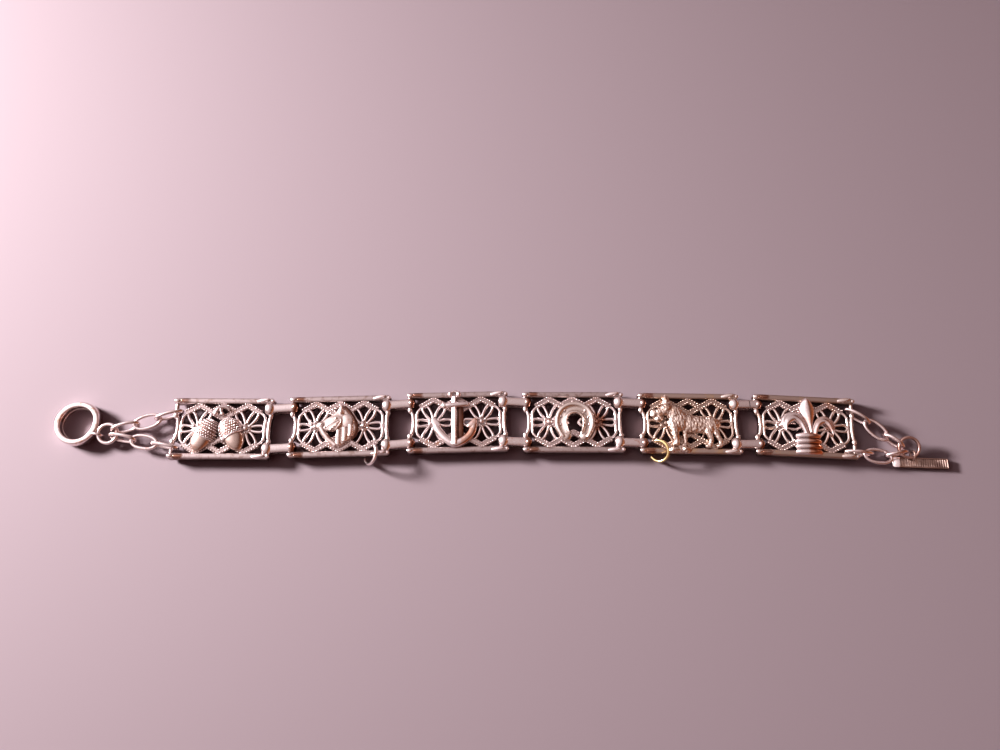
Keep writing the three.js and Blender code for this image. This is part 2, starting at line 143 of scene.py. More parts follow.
def add_node(tree, kind, settings, *inputs, output=0, **named):
    """Adds one shader node: its settings first, then its inputs by order or by name."""
    node = tree.nodes.new("ShaderNode" + kind)
    for name, value in settings.items():
        if name == "stops":
            marks = node.color_ramp.elements
            while len(marks) < len(value):
                marks.new(0.5)
            for mark, (at, colour) in zip(marks, value):
                mark.position = at
                mark.color = (*colour, 1.0)
        else:
            setattr(node, name, value)
    pairs = list(enumerate(inputs)) + [(k.replace("_", " "), v) for k, v in named.items()]
    for key, value in pairs:
        feed(tree, node.inputs[key], value)
    return Signal(tree, node.outputs[output]) if node.outputs else node


def blend_colours(tree, factor, first, second):
    """A colour between two colours."""
    node = tree.nodes.new("ShaderNodeMix")
    node.data_type = "RGBA"
    feed(tree, node.inputs[0], factor)
    for key, colour in ((6, first), (7, second)):
        feed(tree, node.inputs[key], (*colour, 1.0) if isinstance(colour, tuple) else colour)
    return Signal(tree, node.outputs[2])


# %% [markdown]
# ## Surroundings and light
# Metal shows what surrounds it, so the surroundings go from bright on the left, through a dark
# band, to a warm glow on the right. Light that has bounced once meets only a deep shade, which
# keeps the openings dark. The camera itself sees a plain pale wall beyond the floor. The lamp is
# low on the left, as a window is: it puts the openings in shadow and leaves bright lines on every
# rounded edge. It is wide enough for soft shadows.

# %% Surroundings
LIGHT_FROM = math.radians(162.0)
LIGHT_HEIGHT = math.radians(19.0)


def direction(azimuth, height):
    return Vector((
        math.cos(azimuth) * math.cos(height),
        math.sin(azimuth) * math.cos(height),
        math.sin(height),
    ))


world = bpy.data.worlds.new("studio")
bpy.context.scene.world = world
sky = empty_tree(world)
look = add_node(sky, "TexCoord", {})
towards = direction(LIGHT_FROM, math.radians(40.0))
facing = add_node(sky, "VectorMath", {"operation": "DOT_PRODUCT"}, look,
                  tuple(towards), output=1)
SKY_STOPS = [
    (0.0, (0.45, 0.17, 0.075)),
    (0.2, (0.5, 0.19, 0.085)),
    (0.38, (0.24, 0.09, 0.048)),
    (0.5, (0.13, 0.062, 0.048)),
    (0.61, (0.43, 0.32, 0.31)),
    (0.88, (0.78, 0.65, 0.65)),
    (1.0, (2.1, 1.87, 1.93)),
]
DEEP_SHADE = (0.034, 0.006, 0.006)
PALE_WALL = (0.46, 0.38, 0.40)
ramp = add_node(sky, "ValToRGB", {"stops": SKY_STOPS}, facing * 0.5 + 0.5)
bounces = add_node(sky, "LightPath", {}, output="Diffuse Depth")
seen = add_node(sky, "LightPath", {}, output="Is Camera Ray")
shaded = blend_colours(sky, bounces.clipped(), ramp, DEEP_SHADE)
background = add_node(sky, "Background", {},
                      blend_colours(sky, seen, shaded, PALE_WALL), 1.0)
add_node(sky, "OutputWorld", {}, background)

# %% Tones and lamp
tones = bpy.context.scene.view_settings
tones.view_transform = "Standard"
tones.look = "Medium High Contrast"
tones.exposure = -0.15

LAMP_WIDTH = 0.11
LAMP_DISTANCE = 0.5
lamp = bpy.data.lights.new("window", "AREA")
lamp.shape = "RECTANGLE"
lamp.size = LAMP_WIDTH
lamp.size_y = LAMP_WIDTH / 2
lamp.spread = math.radians(110.0)
lamp.energy = 1.63
lamp.color = (1.0, 0.93, 0.95)
window = put_in_scene("window", lamp)
window.location = direction(LIGHT_FROM, LIGHT_HEIGHT) * LAMP_DISTANCE
window.rotation_euler = (-window.location).to_track_quat("-Z", "Y").to_euler()
print(f"Lamp: {lamp.energy:.2f} W from {LAMP_DISTANCE} m, {LAMP_WIDTH} m wide")

# %% [markdown]
# ## Metal finishes
# The bracelet is silver-toned plate over a warm base metal. Real plate is never one colour: it
# wears through in patches and carries fine scratches. Its recesses and low parts are darkened
# by painted shade, with some tarnish, which follows two signals: how low a spot lies, and how
# much of the sky its own piece hides from it. Noise breaks up the rest. A mesh attribute marks
# where the plate is worn away, and the right-facing ends that get a warm painted reflection.
# Only base colour, roughness and bump vary.


# %% Metal
HOLLOW_REACH = 0.7 * MM
# The brown below is painted shade, with some tarnish: it darkens recesses and low parts.
TARNISH_AND_SHADE_BROWN = (0.100, 0.045, 0.038)
# Bare copper shows where plate is worn, and is also a painted warm reflection on right-facing ends.
COPPER_WEAR_AND_WARM_SHADE = (0.38, 0.205, 0.15)
COPPER = (0.56, 0.29, 0.19)
# A dark brown used only for painted shade: the rails' left tongues, the horse's right edge and the
# anchor's shadow band.
SHADE_UMBER = (0.20, 0.105, 0.08)
SPECKS_PER_METRE = 2600.0
BRUSHING = (600.0, 4200.0, 2400.0)


def metal(name, bright, wear, shine, worn=COPPER, dark=TARNISH_AND_SHADE_BROWN, shade_fade_heights=(0.7, 1.65),
          patches=330.0, bare_and_shade_colour=COPPER_WEAR_AND_WARM_SHADE):
    """A worn plate. wear is a share of the surface; the pair of heights (mm) says where the painted
    shade and tarnish fade out upwards.
    """
    material = bpy.data.materials.new(name)
    tree = empty_tree(material)
    place = add_node(tree, "TexCoord", {}, output=3)
    height = add_node(tree, "SeparateXYZ", {}, place, output=2)
    blotches = add_node(tree, "TexNoise", {}, Vector=place, Scale=patches, Detail=4.0,
                        Roughness=0.6)
    specks = add_node(tree, "TexNoise", {}, Vector=place, Scale=SPECKS_PER_METRE,
                      Detail=2.0)
    brushed = add_node(tree, "VectorMath", {"operation": "MULTIPLY"}, place, BRUSHING)
    scratches = add_node(tree, "TexNoise", {}, Vector=brushed, Scale=1.0, Detail=2.0)
    low, high = shade_fade_heights
    hollows = add_node(tree, "AmbientOcclusion", {"samples": 8, "only_local": True},
                       Distance=HOLLOW_REACH, output=1)
    # Painted shade, with some tarnish: darker low down and where the piece's own shape hides the
    # sky.
    deep = 1.0 - (height + (blotches - 0.5) * (1.1 * MM)).step(low * MM, high * MM)
    hollow = 1.0 - (hollows + (blotches - 0.5) * 0.3).step(0.30, 0.80)
    tarnish_and_painted_shade = (deep + hollow * 0.8).clipped()
    # A mesh attribute marks worn-through plate and, on right-facing ends, a painted warm
    # reflection.
    rubbed = add_node(tree, "Attribute", {"attribute_name": "rubbed"}, output="Fac")
    bare_and_warm_shade = (rubbed + (blotches - 0.5) * 1.3).step(0.35, 0.85)
    bare = (blotches + (specks - 0.5) * 0.25).step(0.66 - 0.3 * wear, 0.78 - 0.3 * wear)
    colour = blend_colours(tree, bare * 0.8, bright, worn)
    colour = blend_colours(tree, bare_and_warm_shade, colour, bare_and_shade_colour)
    colour = blend_colours(tree, tarnish_and_painted_shade * 0.85, colour, dark)
    unevenness = (scratches - 0.5) * 0.16 + tarnish_and_painted_shade * 0.22 + (specks - 0.5) * 0.08
    roughness = unevenness + (shine - bare_and_warm_shade * 0.08)
    bump = add_node(tree, "Bump", {}, Strength=0.35, Distance=0.06 * MM,
                    Height=specks * 0.6 + scratches * 0.6)
    surface = add_node(tree, "BsdfPrincipled", {}, Base_Color=colour, Metallic=1.0,
                       Roughness=roughness, Normal=bump)
    add_node(tree, "OutputMaterial", {}, surface)
    return material


# %% The bracelet's finishes
silver = metal("silver_plate", (0.84, 0.75, 0.74), 0.12, 0.24)
satin_rail = metal("satin_rail", (0.50, 0.425, 0.415), 0.48, 0.36, (0.33, 0.24, 0.21),
                   patches=900.0, bare_and_shade_colour=SHADE_UMBER)
shade_umber = metal("painted_shade_umber", SHADE_UMBER, 0.2, 0.38, (0.26, 0.14, 0.10))
# Its bare colour is a painted warm reflection on the anchor's right arm and the lily's collar.
thin_plate = metal("thin_plate", (0.82, 0.73, 0.72), 0.12, 0.24, bare_and_shade_colour=(0.70, 0.38, 0.26))
strap_silver = metal("strap_silver", (0.56, 0.46, 0.44), 0.25, 0.30)
worn_strap = metal("worn_strap", (0.50, 0.39, 0.33), 0.4, 0.32, (0.44, 0.28, 0.20))
tarnished = metal("tarnished_ground", (0.40, 0.27, 0.24), 0.1, 0.40)
copper_ring = metal("copper_ring", (0.60, 0.43, 0.38), 0.3, 0.30, shade_fade_heights=(-1.0, 0.6))
worn_rail = metal("worn_rail", (0.50, 0.40, 0.35), 0.4, 0.32, (0.60, 0.43, 0.28))
warm_silver = metal("warm_silver_plate", (0.80, 0.70, 0.66), 0.3, 0.25, (0.62, 0.42, 0.29))
cast_silver = metal("cast_silver", (0.80, 0.69, 0.65), 0.2, 0.28)
nut_silver = metal("nut_silver", (0.66, 0.53, 0.47), 0.2, 0.28)
worn_plate = metal("worn_plate", (0.74, 0.61, 0.53), 0.4, 0.27, (0.52, 0.34, 0.24))
dog_plate = metal("dog_plate", (0.78, 0.65, 0.57), 0.35, 0.29, (0.56, 0.38, 0.28))
pewter = metal("pewter_plate", (0.80, 0.71, 0.66), 0.2, 0.28, (0.58, 0.39, 0.29))
band_silver = metal("band_silver", (0.70, 0.61, 0.60), 0.15, 0.24, shade_fade_heights=(-1.0, 0.7))
chain_silver = metal("chain_silver", (0.85, 0.75, 0.74), 0.3, 0.22, shade_fade_heights=(-1.0, 0.6))
yellow_brass = metal("yellow_brass", (0.86, 0.70, 0.36), 0.15, 0.22, (0.62, 0.42, 0.18),
                     (0.2, 0.11, 0.04), (-1.0, 0.6))
dull_tag = metal("dull_tag", (0.55, 0.43, 0.38), 0.5, 0.36, (0.42, 0.27, 0.21),
                 shade_fade_heights=(0.45, 0.78))
print("Metal finishes:", len(bpy.data.materials))

# %% [markdown]
# ## The floor
# The bracelet lies on a plain pale floor. It is one large square, matt, so that it shows nothing
# but soft shadows. It is left out of the bracelet's body.

# %% Floor
floor_material = bpy.data.materials.new("pale_floor")
floor_tree = empty_tree(floor_material)
matt = add_node(floor_tree, "BsdfPrincipled", {}, Base_Color=(0.64, 0.53, 0.57, 1.0),
                Roughness=0.9)
add_node(floor_tree, "OutputMaterial", {}, matt)

floor_bm = bmesh.new()
bmesh.ops.create_grid(floor_bm, x_segments=1, y_segments=1, size=2.0)
floor_mesh = bpy.data.meshes.new("floor")
floor_bm.to_mesh(floor_mesh)
floor_bm.free()
floor_mesh.materials.append(floor_material)
put_in_scene("floor", floor_mesh)

# %% [markdown]
# ## Tools of the bench
# Nearly everything on the bracelet is wire, band or a small bead, so a few tools make it all:
# `sweep` draws a section along a path, `bead` drops a ball, `plate` cuts a flat shape, and
# `Piece` gathers the parts of one object. Lengths are millimetres until a piece is finished,
# when it goes to its place in metres.

# %% Lines
def smooth_line(points, steps, closed=False):
    """A smooth line through points, by short straight steps."""
    knots = [Vector(p) for p in points]
    if closed:
        padded = [knots[-1], *knots, *knots[:2]]
    else:
        padded = [knots[0], *knots, knots[-1]]
    line = []
    for before, start, end, after in zip(padded, padded[1:], padded[2:], padded[3:]):
        for k in range(steps):
            t = k / steps
            line.append(0.5 * (
                2 * start + (end - before) * t
                + (2 * before - 5 * start + 4 * end - after) * t * t
                + (3 * start - before - 3 * end + after) * t ** 3
            ))
    return line if closed else line + [knots[-1]]


def level_line(points, height, steps):
    """A smooth line at one height."""
    return smooth_line([(x, y, height) for x, y in points], steps)


# %% Sections
def round_section(radius, sides, squash=1.0):
    angles = [2 * math.pi * i / sides for i in range(sides)]
    return [(radius * math.cos(a), squash * radius * math.sin(a)) for a in angles]


def band_section(width, height, corner):
    """A flat band with rounded long edges and a slight crown."""
    w, h = width / 2, height / 2
    return [
        (-w, -h + corner), (-w + corner, -h), (w - corner, -h), (w, -h + corner),
        (w, h - corner), (w - corner, h * 0.96), (0.0, h), (-w + corner, h * 0.96),
        (-w, h - corner),
    ]


# %% Sweep
UP = Vector((0.0, 0.0, 1.0))


def outward(bm):
    """Turns all the faces of a closed shape outwards."""
    bmesh.ops.recalc_face_normals(bm, faces=bm.faces)
    return bm


def sweep(points, section, widths=None, closed=False, across=None):
    """Draws a section along a line. Each step extrudes the last ring and moves it on."""
    line = [Vector(p) for p in points]
    count = len(line)
    widths = widths or [1.0] * count

    def station(i):
        here = line[i % count]
        before = line[(i - 1) % count] if closed or i > 0 else None
        after = line[(i + 1) % count] if closed or i < count - 1 else None
        back = (here - before).normalized() if before else (after - here).normalized()
        ahead = (after - here).normalized() if after else back
        along = (back + ahead).normalized()
        side = across.copy() if across else UP.cross(along).normalized()
        top = along.cross(side).normalized()
        mitre = 1.0 if across else min(1.0 / max(along.dot(ahead), 0.5), 1.6)
        width = widths[i % count]
        wide, high = width if isinstance(width, tuple) else (width, width)
        spin = Matrix((side * wide * mitre, top * high, along)).transposed().to_4x4()
        return Matrix.Translation(here) @ spin

    bm = bmesh.new()
    now = station(0)
    ring = [bm.verts.new(now @ Vector((x, y, 0.0))) for x, y in section]
    edges = [bm.edges.new((ring[i - 1], ring[i])) for i in range(len(ring))]
    first = list(edges)
    for i in range(1, count + 1 if closed else count):
        made = bmesh.ops.extrude_edge_only(bm, edges=edges)["geom"]
        verts = [g for g in made if isinstance(g, bmesh.types.BMVert)]
        edges = [
            e for e in made
            if isinstance(e, bmesh.types.BMEdge) and len(e.link_faces) == 1
        ]
        following = station(i)
        bmesh.ops.transform(bm, matrix=following @ now.inverted(), verts=verts)
        now = following
    if closed:
        bmesh.ops.remove_doubles(bm, verts=bm.verts, dist=1e-4)
    else:
        bmesh.ops.contextual_create(bm, geom=first)
        bmesh.ops.contextual_create(bm, geom=edges)
    return outward(bm)


# %% Beads, balls and plates
def turning(degrees, axis="Z"):
    return Matrix.Rotation(math.radians(degrees), 4, axis)


def shifted(x, y, z):
    return Matrix.Translation((x, y, z))


def bead(bm, at, radius, segments, rings, flat=1.0):
    place = Matrix.LocRotScale(Vector(at), None, Vector((radius, radius, radius * flat)))
    bmesh.ops.create_uvsphere(bm, u_segments=segments, v_segments=rings, radius=1.0, matrix=place)


def ball(at, size, turn=0.0, tilt=0.0, subdivisions=3):
    """A stretched ball: turned in the plane after it is tilted about its own Y axis."""
    bm = bmesh.new()
    place = shifted(*at) @ turning(turn) @ turning(tilt, "Y") @ Matrix.Diagonal((*size, 1.0))
    bmesh.ops.create_icosphere(bm, subdivisions=subdivisions, radius=1.0, matrix=place)
    return bm


def plate(points, bottom, top, bevel, segments=2):
    """A flat shape of some thickness, with the edges of its top rounded."""
    bm = bmesh.new()
    face = bm.faces.new([bm.verts.new((x, y, bottom)) for x, y in points])
    made = bmesh.ops.extrude_face_region(bm, geom=[face])["geom"]
    moved = [g for g in made if isinstance(g, bmesh.types.BMVert)]
    bmesh.ops.translate(bm, vec=(0.0, 0.0, top - bottom), verts=moved)
    outward(bm)
    rim = [e for e in bm.edges if all(v.co.z > top - 1e-4 for v in e.verts)]
    bmesh.ops.bevel(bm, geom=rim, offset=bevel, segments=segments, profile=0.5,
                    affect="EDGES", material=-1)
    return bm


# %% Wire rings
def spun(bm, outline, axis, steps):
    """Takes a line of points and edges once round an axis."""
    bmesh.ops.spin(bm, geom=outline, cent=(0, 0, 0), axis=axis, dvec=(0, 0, 0),
                   angle=2 * math.pi, steps=steps, use_merge=True)


def wire_ring(radius, section, steps):
    """A ring of wire in the XY plane. section is a list of (outward, upward) points."""
    bm = bmesh.new()
    verts = [bm.verts.new((radius + x, 0.0, z)) for x, z in section]
    edges = [bm.edges.new((verts[i - 1], verts[i])) for i in range(len(verts))]
    bmesh.ops.rotate(bm, cent=(0, 0, 0), matrix=Matrix.Rotation(math.pi / steps, 3, "Z"),
                     verts=verts)
    spun(bm, verts + edges, (0, 0, 1), steps)
    return outward(bm)


# %% Gather and finish a piece
class Piece:
    """The parts of one finished object, gathered in millimetres."""

    def __init__(self):
        self.bm = bmesh.new()

    def add(self, part, finish=0, place=None):
        for face in part.faces:
            face.material_index = finish
        mesh = bpy.data.meshes.new("part")
        part.to_mesh(mesh)
        part.free()
        if place:
            mesh.transform(place)
        self.bm.from_mesh(mesh)
        bpy.data.meshes.remove(mesh)
        return self

    def finish(self, name, materials, nodes, place, slot="silver", crease=50.0, rubbed=None):
        """Smooths all but the sharp edges and puts the piece in its place, in metres."""
        limit = math.radians(crease)
        for face in self.bm.faces:
            face.smooth = True
        for edge in self.bm.edges:
            if len(edge.link_faces) == 2 and edge.calc_face_angle(0.0) > limit:
                edge.smooth = False
        mesh = bpy.data.meshes.new(name)
        self.bm.to_mesh(mesh)
        self.bm.free()
        if rubbed:
            wear = mesh.attributes.new("rubbed", "FLOAT", "POINT")
            wear.data.foreach_set("value", [rubbed(v.co) for v in mesh.vertices])
        mesh.transform(Matrix.Scale(MM, 4) @ place)
        for material in materials:
            mesh.materials.append(material)
        piece = put_in_scene(name, mesh)
        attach(piece, "root")
        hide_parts(*nodes)
        triangles = sum(len(p.vertices) - 2 for p in mesh.polygons)
        totals.append(triangles)
        print(f"{name}: {triangles} triangles")


totals = []

# %% [markdown]
# ## Where things lie
# A CAD node keeps its place in its vertices. For a link, a ring or a band it is measured from
# them: the middle of the points, and the directions in which they spread most and least. A panel
# isn't symmetrical, so its place and turn are the ones that its source gives it.


# %% Places
def corners(node):
    """A CAD node's points in millimetres."""
    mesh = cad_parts[node].data
    flat = np.zeros(len(mesh.vertices) * 3)
    mesh.vertices.foreach_get("co", flat)
    return flat.reshape(-1, 3) / MM


def lying(points):
    """The place of a part that lies flat: its middle and its turn about Z."""
    middle = (points.min(0) + points.max(0)) / 2
    spread = np.cov((points - points.mean(0))[:, :2].T)
    turn = 0.5 * math.atan2(2 * spread[0, 1], spread[0, 0] - spread[1, 1])
    return shifted(middle[0], middle[1], 0.0) @ Matrix.Rotation(turn, 4, "Z")


def standing(points):
    """The place of a ring or link at any lean: longest spread along X, thinnest along Z."""
    middle = points.mean(0)
    axes = np.linalg.svd(points - middle)[2]
    long, _, thin = (Vector(a) for a in axes)
    turn = Matrix((long, thin.cross(long), thin)).transposed().to_4x4()
    return Matrix.Translation(middle) @ turn


panel_places = {figure: shifted(x, y, 0.0) @ turning(turn) for figure, x, y, turn in (
    ("acorns", -58.097, 0.171, -0.3),
    ("horse_head", -33.447, 0.651, 1.4),
    ("anchor", -8.747, 1.551, 1.3),
    ("horseshoe", 15.503, 1.571, -0.1),
    ("dog", 39.853, 1.251, -0.8),
    ("fleur_de_lis", 64.053, 0.601, -3.0),
)}

# %% [markdown]
# ## The panel frames
# Two rails run the length of each panel. They are upright strips with a satin top. At each end
# a rail rises in a tongue, with a round knob on the outside. An end bar joins the rails at each
# end: thick where the bands go round it, and bowed inwards between them, over a low end wall.

# %% Frame
RAIL_Y = 5.93
RAIL_END = 10.22
RAIL_MIDDLE = 1.45
HINGE_X = 10.1
END_BAR_MIDDLE = 1.3
BOW_DEPTH = {-1: 0.85, 1: 0.3}


def mirrored(right):
    """A whole section from its right half, which starts at the base."""
    left = [(-x, y) for x, y in reversed(right) if x]
    return left[-1:] + right + left[:-1]


RAIL_SECTION = mirrored([(0.6, -0.85), (0.6, 0.5), (0.55, 0.66), (0.4, 0.76), (0.14, 0.8)])


def frame_parts():
    parts = Piece()
    for side in (-1, 1):
        y = side * RAIL_Y
        run = [(RAIL_END * i / 24, y, RAIL_MIDDLE) for i in range(-24, 25)]
        parts.add(sweep(run, RAIL_SECTION))
        post = round_section(1.0, 12)
        for x in (-RAIL_END, RAIL_END):
            shape = [(x, y, z) for z in (0.62, 0.75, 1.5, 1.95, 2.12)]
            parts.add(sweep(shape, post, [0.34, 0.42, 0.42, 0.4, 0.2], across=Vector((1, 0, 0))))
        spread = 9.0 if side > 0 else 4.0
        parts.add(ball((8.1, y + side * 0.05, 2.2), (1.65, 0.5, 0.42), spread, -13), 1)
        parts.add(ball((10.25, y, 2.2), (0.42, 0.4, 0.3)), 1)
        parts.add(ball((-9.95, y, 2.0), (0.72, 0.52, 0.52)), 1)
        parts.add(ball((-7.4, y, 1.98), (1.9, 0.42, 0.32), -side * 2.0, 9), 1)
        for x in (-5.0, 0.0, 5.0):
            parts.add(ball((x, side * 5.4, 1.78), (0.42, 0.36, 0.32), subdivisions=2), 1)
            parts.add(sweep([(x, side * 5.0, 1.6), (x, y, 1.6)], band_section(0.8, 0.45, 0.1)), 1)
    back = [(1.0, 0.0), (0.95, 1.0), (0.7, 2.0), (0.12, 2.8), (0.0, 3.4), (0.0, 4.3), (0.0, RAIL_Y)]
    bow = [(inwards, -y) for inwards, y in reversed(back[1:])] + back
    for side, deep in BOW_DEPTH.items():
        line = smooth_line([(side * (HINGE_X - deep * inwards), y,
                             END_BAR_MIDDLE + 0.2 * min(1.0, 2 * inwards))
                            for inwards, y in bow], 3)
        parts.add(sweep(line, round_section(0.4, 10, 1.05)), 1)
        wall = [Vector((p.x, p.y, 0.75)) for p in line if abs(p.y) < 2.75]
        parts.add(sweep(wall, band_section(0.4, 1.3, 0.1)), 1)
        for y in (-2.85, 2.85):
            parts.add(ball((side * 10.02, y, 1.45), (0.56, 0.85, 0.6)), 1)
    return parts


# %% [markdown]
# ## The filigree
# The pierced plate is stamped to look like wirework. Straps edged with fine grains zigzag along
# it and cross in the middle. Each half holds a flower: a knob ringed by small beads and six
# petals of looped wire. Thin curved wires close the ends. The plate is nearly a millimetre deep,
# deeper than its CAD part, so that its openings look dark from most sides. The same function
# makes all six plates.

# %% Grains and petals
FLOWER_X = 5.0
PEAK_Y = 5.05
SLOPE = math.tan(math.radians(30.0))
SHOULDER_X = FLOWER_X + 2.9
STRAP_WIDTH = 1.3
STRAP_DEPTH = 0.95
STRAP_TOP = 1.86
STRAP_MIDDLE = STRAP_TOP - STRAP_DEPTH / 2
GRAIN = 0.23
GRAIN_SPACING = 0.54
GRAIN_ROW = 0.4
WIRE_SECTION = band_section(0.6, STRAP_DEPTH, 0.18)
END_WIRE = {-1: 8.55, 1: 8.95}
KNOB_RING = 1.0


def grains_along(bm, line, offset):
    """Two rows of grains along a strap, one near each edge."""
    for start, end in zip(line, line[1:]):
        run = end - start
        side = UP.cross(run).normalized() * offset
        count = int(run.length / GRAIN_SPACING)
        for i in range(count):
            at = start + run * ((i + 0.5) / count)
            for edge in (-1, 1):
                bead(bm, at + side * edge, GRAIN, segments=6, rings=4)


def petal(centre, angle, reach):
    """A loop of wire from the knob outwards, with nearly parallel sides."""
    half = [(0.95, 0.3), (1.6, 0.54), (2.5, 0.68), (3.3, 0.68), (reach - 0.35, 0.5)]
    outline = half + [(reach, 0.0)] + [(r, -w) for r, w in reversed(half)]
    turn = Matrix.Rotation(angle, 4, "Z")
    points = [turn @ Vector((r, w, STRAP_MIDDLE)) + Vector((centre, 0, 0)) for r, w in outline]
    line = smooth_line(points, 4, closed=True)
    return sweep(line, WIRE_SECTION, closed=True)


# %% The whole plate
def filigree_parts():
    parts = Piece()
    grains = bmesh.new()
    crossing = PEAK_Y - FLOWER_X * SLOPE
    shoulder = PEAK_Y - (SHOULDER_X - FLOWER_X) * SLOPE
    halfway = (PEAK_Y + crossing) / 2
    for side in (-1, 1):
        zigzag = [(-SHOULDER_X, shoulder), (-FLOWER_X, PEAK_Y), (0.0, crossing),
                  (FLOWER_X, PEAK_Y), (SHOULDER_X, shoulder)]
        middle = [(-FLOWER_X / 2, halfway), (0.0, PEAK_Y), (FLOWER_X / 2, halfway)]
        for points in (zigzag, middle):
            line = [Vector((x, side * y, STRAP_MIDDLE)) for x, y in points]
            parts.add(sweep(line, band_section(STRAP_WIDTH, STRAP_DEPTH, 0.12)), 1)
            grains_along(grains, [p + UP * (STRAP_TOP - STRAP_MIDDLE) for p in line], GRAIN_ROW)
        for end, edge in END_WIRE.items():
            corner = level_line([
                (end * (SHOULDER_X - 0.4), side * (shoulder + 0.2)),
                (end * (edge - 0.7), side * 3.1), (end * (edge - 0.25), side * 2.6),
                (end * edge, side * 1.9), (end * edge, 0.0),
            ], STRAP_MIDDLE, 4)
            parts.add(sweep(corner, WIRE_SECTION))
    for centre in (-FLOWER_X, FLOWER_X):
        for step in range(6):
            angle = math.radians(60 * step)
            reach = 3.6 if (centre < 0 and step == 3) else 3.9 if step % 3 == 0 else 4.25
            parts.add(petal(centre, angle, reach))
            around = Vector((math.cos(angle + 0.52), math.sin(angle + 0.52), 0.0))
            bead(grains, Vector((centre, 0.0, 1.9)) + around * KNOB_RING, 0.3, segments=10, rings=8)
        bead(grains, (centre, 0.0, 2.0), 0.56, segments=16, rings=10, flat=0.85)
        base = round_section(1.12, 20)
        parts.add(plate([(centre + x, y) for x, y in base], 1.1, 1.86, 0.15), 1)
    parts.add(grains)
    return parts


# %% Frames and filigree into place
def clamped(value):
    return min(1.0, max(0.0, value))


def warm_shade_tongue(point):
    """A rail's left tongue is painted dark brown, a painted reflection shown as worn plate; its
    knob is not.
    """
    if abs(point.y) < 5.4:
        return 0.0
    return min(0.85, clamped((-6.6 - point.x) / 1.2)) * clamped((point.x + 9.7) / 0.5)


def rubbed_flower(point):
    """The flower beside the horseshoe has lost its plate round the knob."""
    return min(0.9, clamped(2.6 - math.hypot(point.x - FLOWER_X, point.y)))


WORN_LACE = {"dog": [worn_plate, worn_strap], "fleur_de_lis": [warm_silver, strap_silver]}
for figure, place in panel_places.items():
    nodes = ["panel_" + figure]
    worn = figure in WORN_LACE
    rails = [worn_rail, warm_silver] if worn else [satin_rail, silver]
    lace = WORN_LACE.get(figure, [silver, strap_silver])
    slot = "worn_plate" if worn else "silver"
    frame_parts().finish(figure + "_frame", rails, nodes, place, slot, rubbed=warm_shade_tongue)
    filigree_parts().finish(figure + "_filigree", lace, nodes, place, slot,
                            rubbed=rubbed_flower if figure == "horseshoe" else None)

# %% [markdown]
# ## The acorns
# Two acorns hang from one twig with their tips spread. An acorn is round in section, so each is
# turned on a lathe, flattened a little and cut off where it meets the plate. The cups are
# covered in a net of fine grains over a dark ground, and the nuts are smooth with a small point.

# %% A lathe
def turned(profile, steps):
    """A shape turned on a lathe about the Y axis, from (radius, height) points."""
    bm = bmesh.new()
    verts = [bm.verts.new((r, h, 0.0)) for r, h in profile]
    edges = [bm.edges.new(pair) for pair in zip(verts, verts[1:])]
    spun(bm, verts + edges, (0, 1, 0), steps)
    bmesh.ops.remove_doubles(bm, verts=bm.verts, dist=1e-3)
    return outward(bm)


# %% Acorns
FIGURE_BASE = 1.6
CUP = [(0.0, 4.25), (0.7, 4.15), (1.35, 3.75), (1.9, 3.05), (2.22, 2.2), (2.38, 1.3), (2.36, 0.5),
       (2.25, 0.1), (1.95, 0.0)]
NUT = [(0.0, 0.5), (1.9, 0.3), (2.06, -0.3), (2.02, -1.0), (1.82, -1.75), (1.45, -2.45),
       (0.98, -2.98), (0.5, -3.3), (0.2, -3.45), (0.1, -3.65), (0.0, -3.72)]
FLATTEN = 0.72
CUP_GRAIN = 0.2
GRAIN_ROWS = 10
GRAIN_COLUMNS = 13


def above_plate(bm, level):
    """Cuts away what lies below a level and closes the cut."""
    cut = bmesh.ops.bisect_plane(bm, geom=bm.verts[:] + bm.edges[:] + bm.faces[:],
                                 plane_co=(0, 0, level), plane_no=(0, 0, 1), clear_inner=True)
    rim = [g for g in cut["geom_cut"] if isinstance(g, bmesh.types.BMEdge)]
    bmesh.ops.contextual_create(bm, geom=rim)
    return bm


def finish_figure(piece, figure, materials, **more):
    piece.finish(figure + "_figure", materials, ["panel_" + figure], panel_places[figure], **more)


def acorn(parts, x, y, turn):
    place = shifted(x, y, FIGURE_BASE + 0.3) @ turning(turn)
    place = place @ Matrix.Diagonal((1.0, 1.0, FLATTEN, 1.0))
    for profile, finish in ((CUP, 2), (NUT, 1)):
        line = [(max(p.x, 0.0), p.y) for p in level_line(profile, 0, 3)]
        parts.add(above_plate(turned(line, 40), -0.3), finish, place)
    net = bmesh.new()
    cup = [p for p in level_line(CUP, 0, 8) if 0.05 < p.y < 4.0]
    for row in range(GRAIN_ROWS):
        here = cup[round((len(cup) - 1) * row / (GRAIN_ROWS - 1))]
        for column in range(GRAIN_COLUMNS):
            around = math.pi * (column + 0.5 * (row % 2)) / GRAIN_COLUMNS
            size = CUP_GRAIN * min(1.0, 0.35 + 0.33 * here.x)
            spot = (here.x * math.cos(around), here.y, here.x * math.sin(around))
            bead(net, spot, size, segments=8, rings=6)
    parts.add(net, 0, place)
    half_turn = [math.pi * i / 16 for i in range(17)]
    rim = [(2.28 * math.cos(a), 0.05, 2.28 * math.sin(a)) for a in half_turn]
    parts.add(sweep(rim, round_section(0.16, 8)), 0, place)


# %% Both acorns on their twig
def tapered_bar(line, section, ends, power=0.5):
    """A bar that swells from each end to its middle. ends is the share left at the ends."""
    swell = [math.sin(math.pi * i / (len(line) - 1)) ** power for i in range(len(line))]
    return sweep(line, section, [ends + (1 - ends) * s for s in swell])


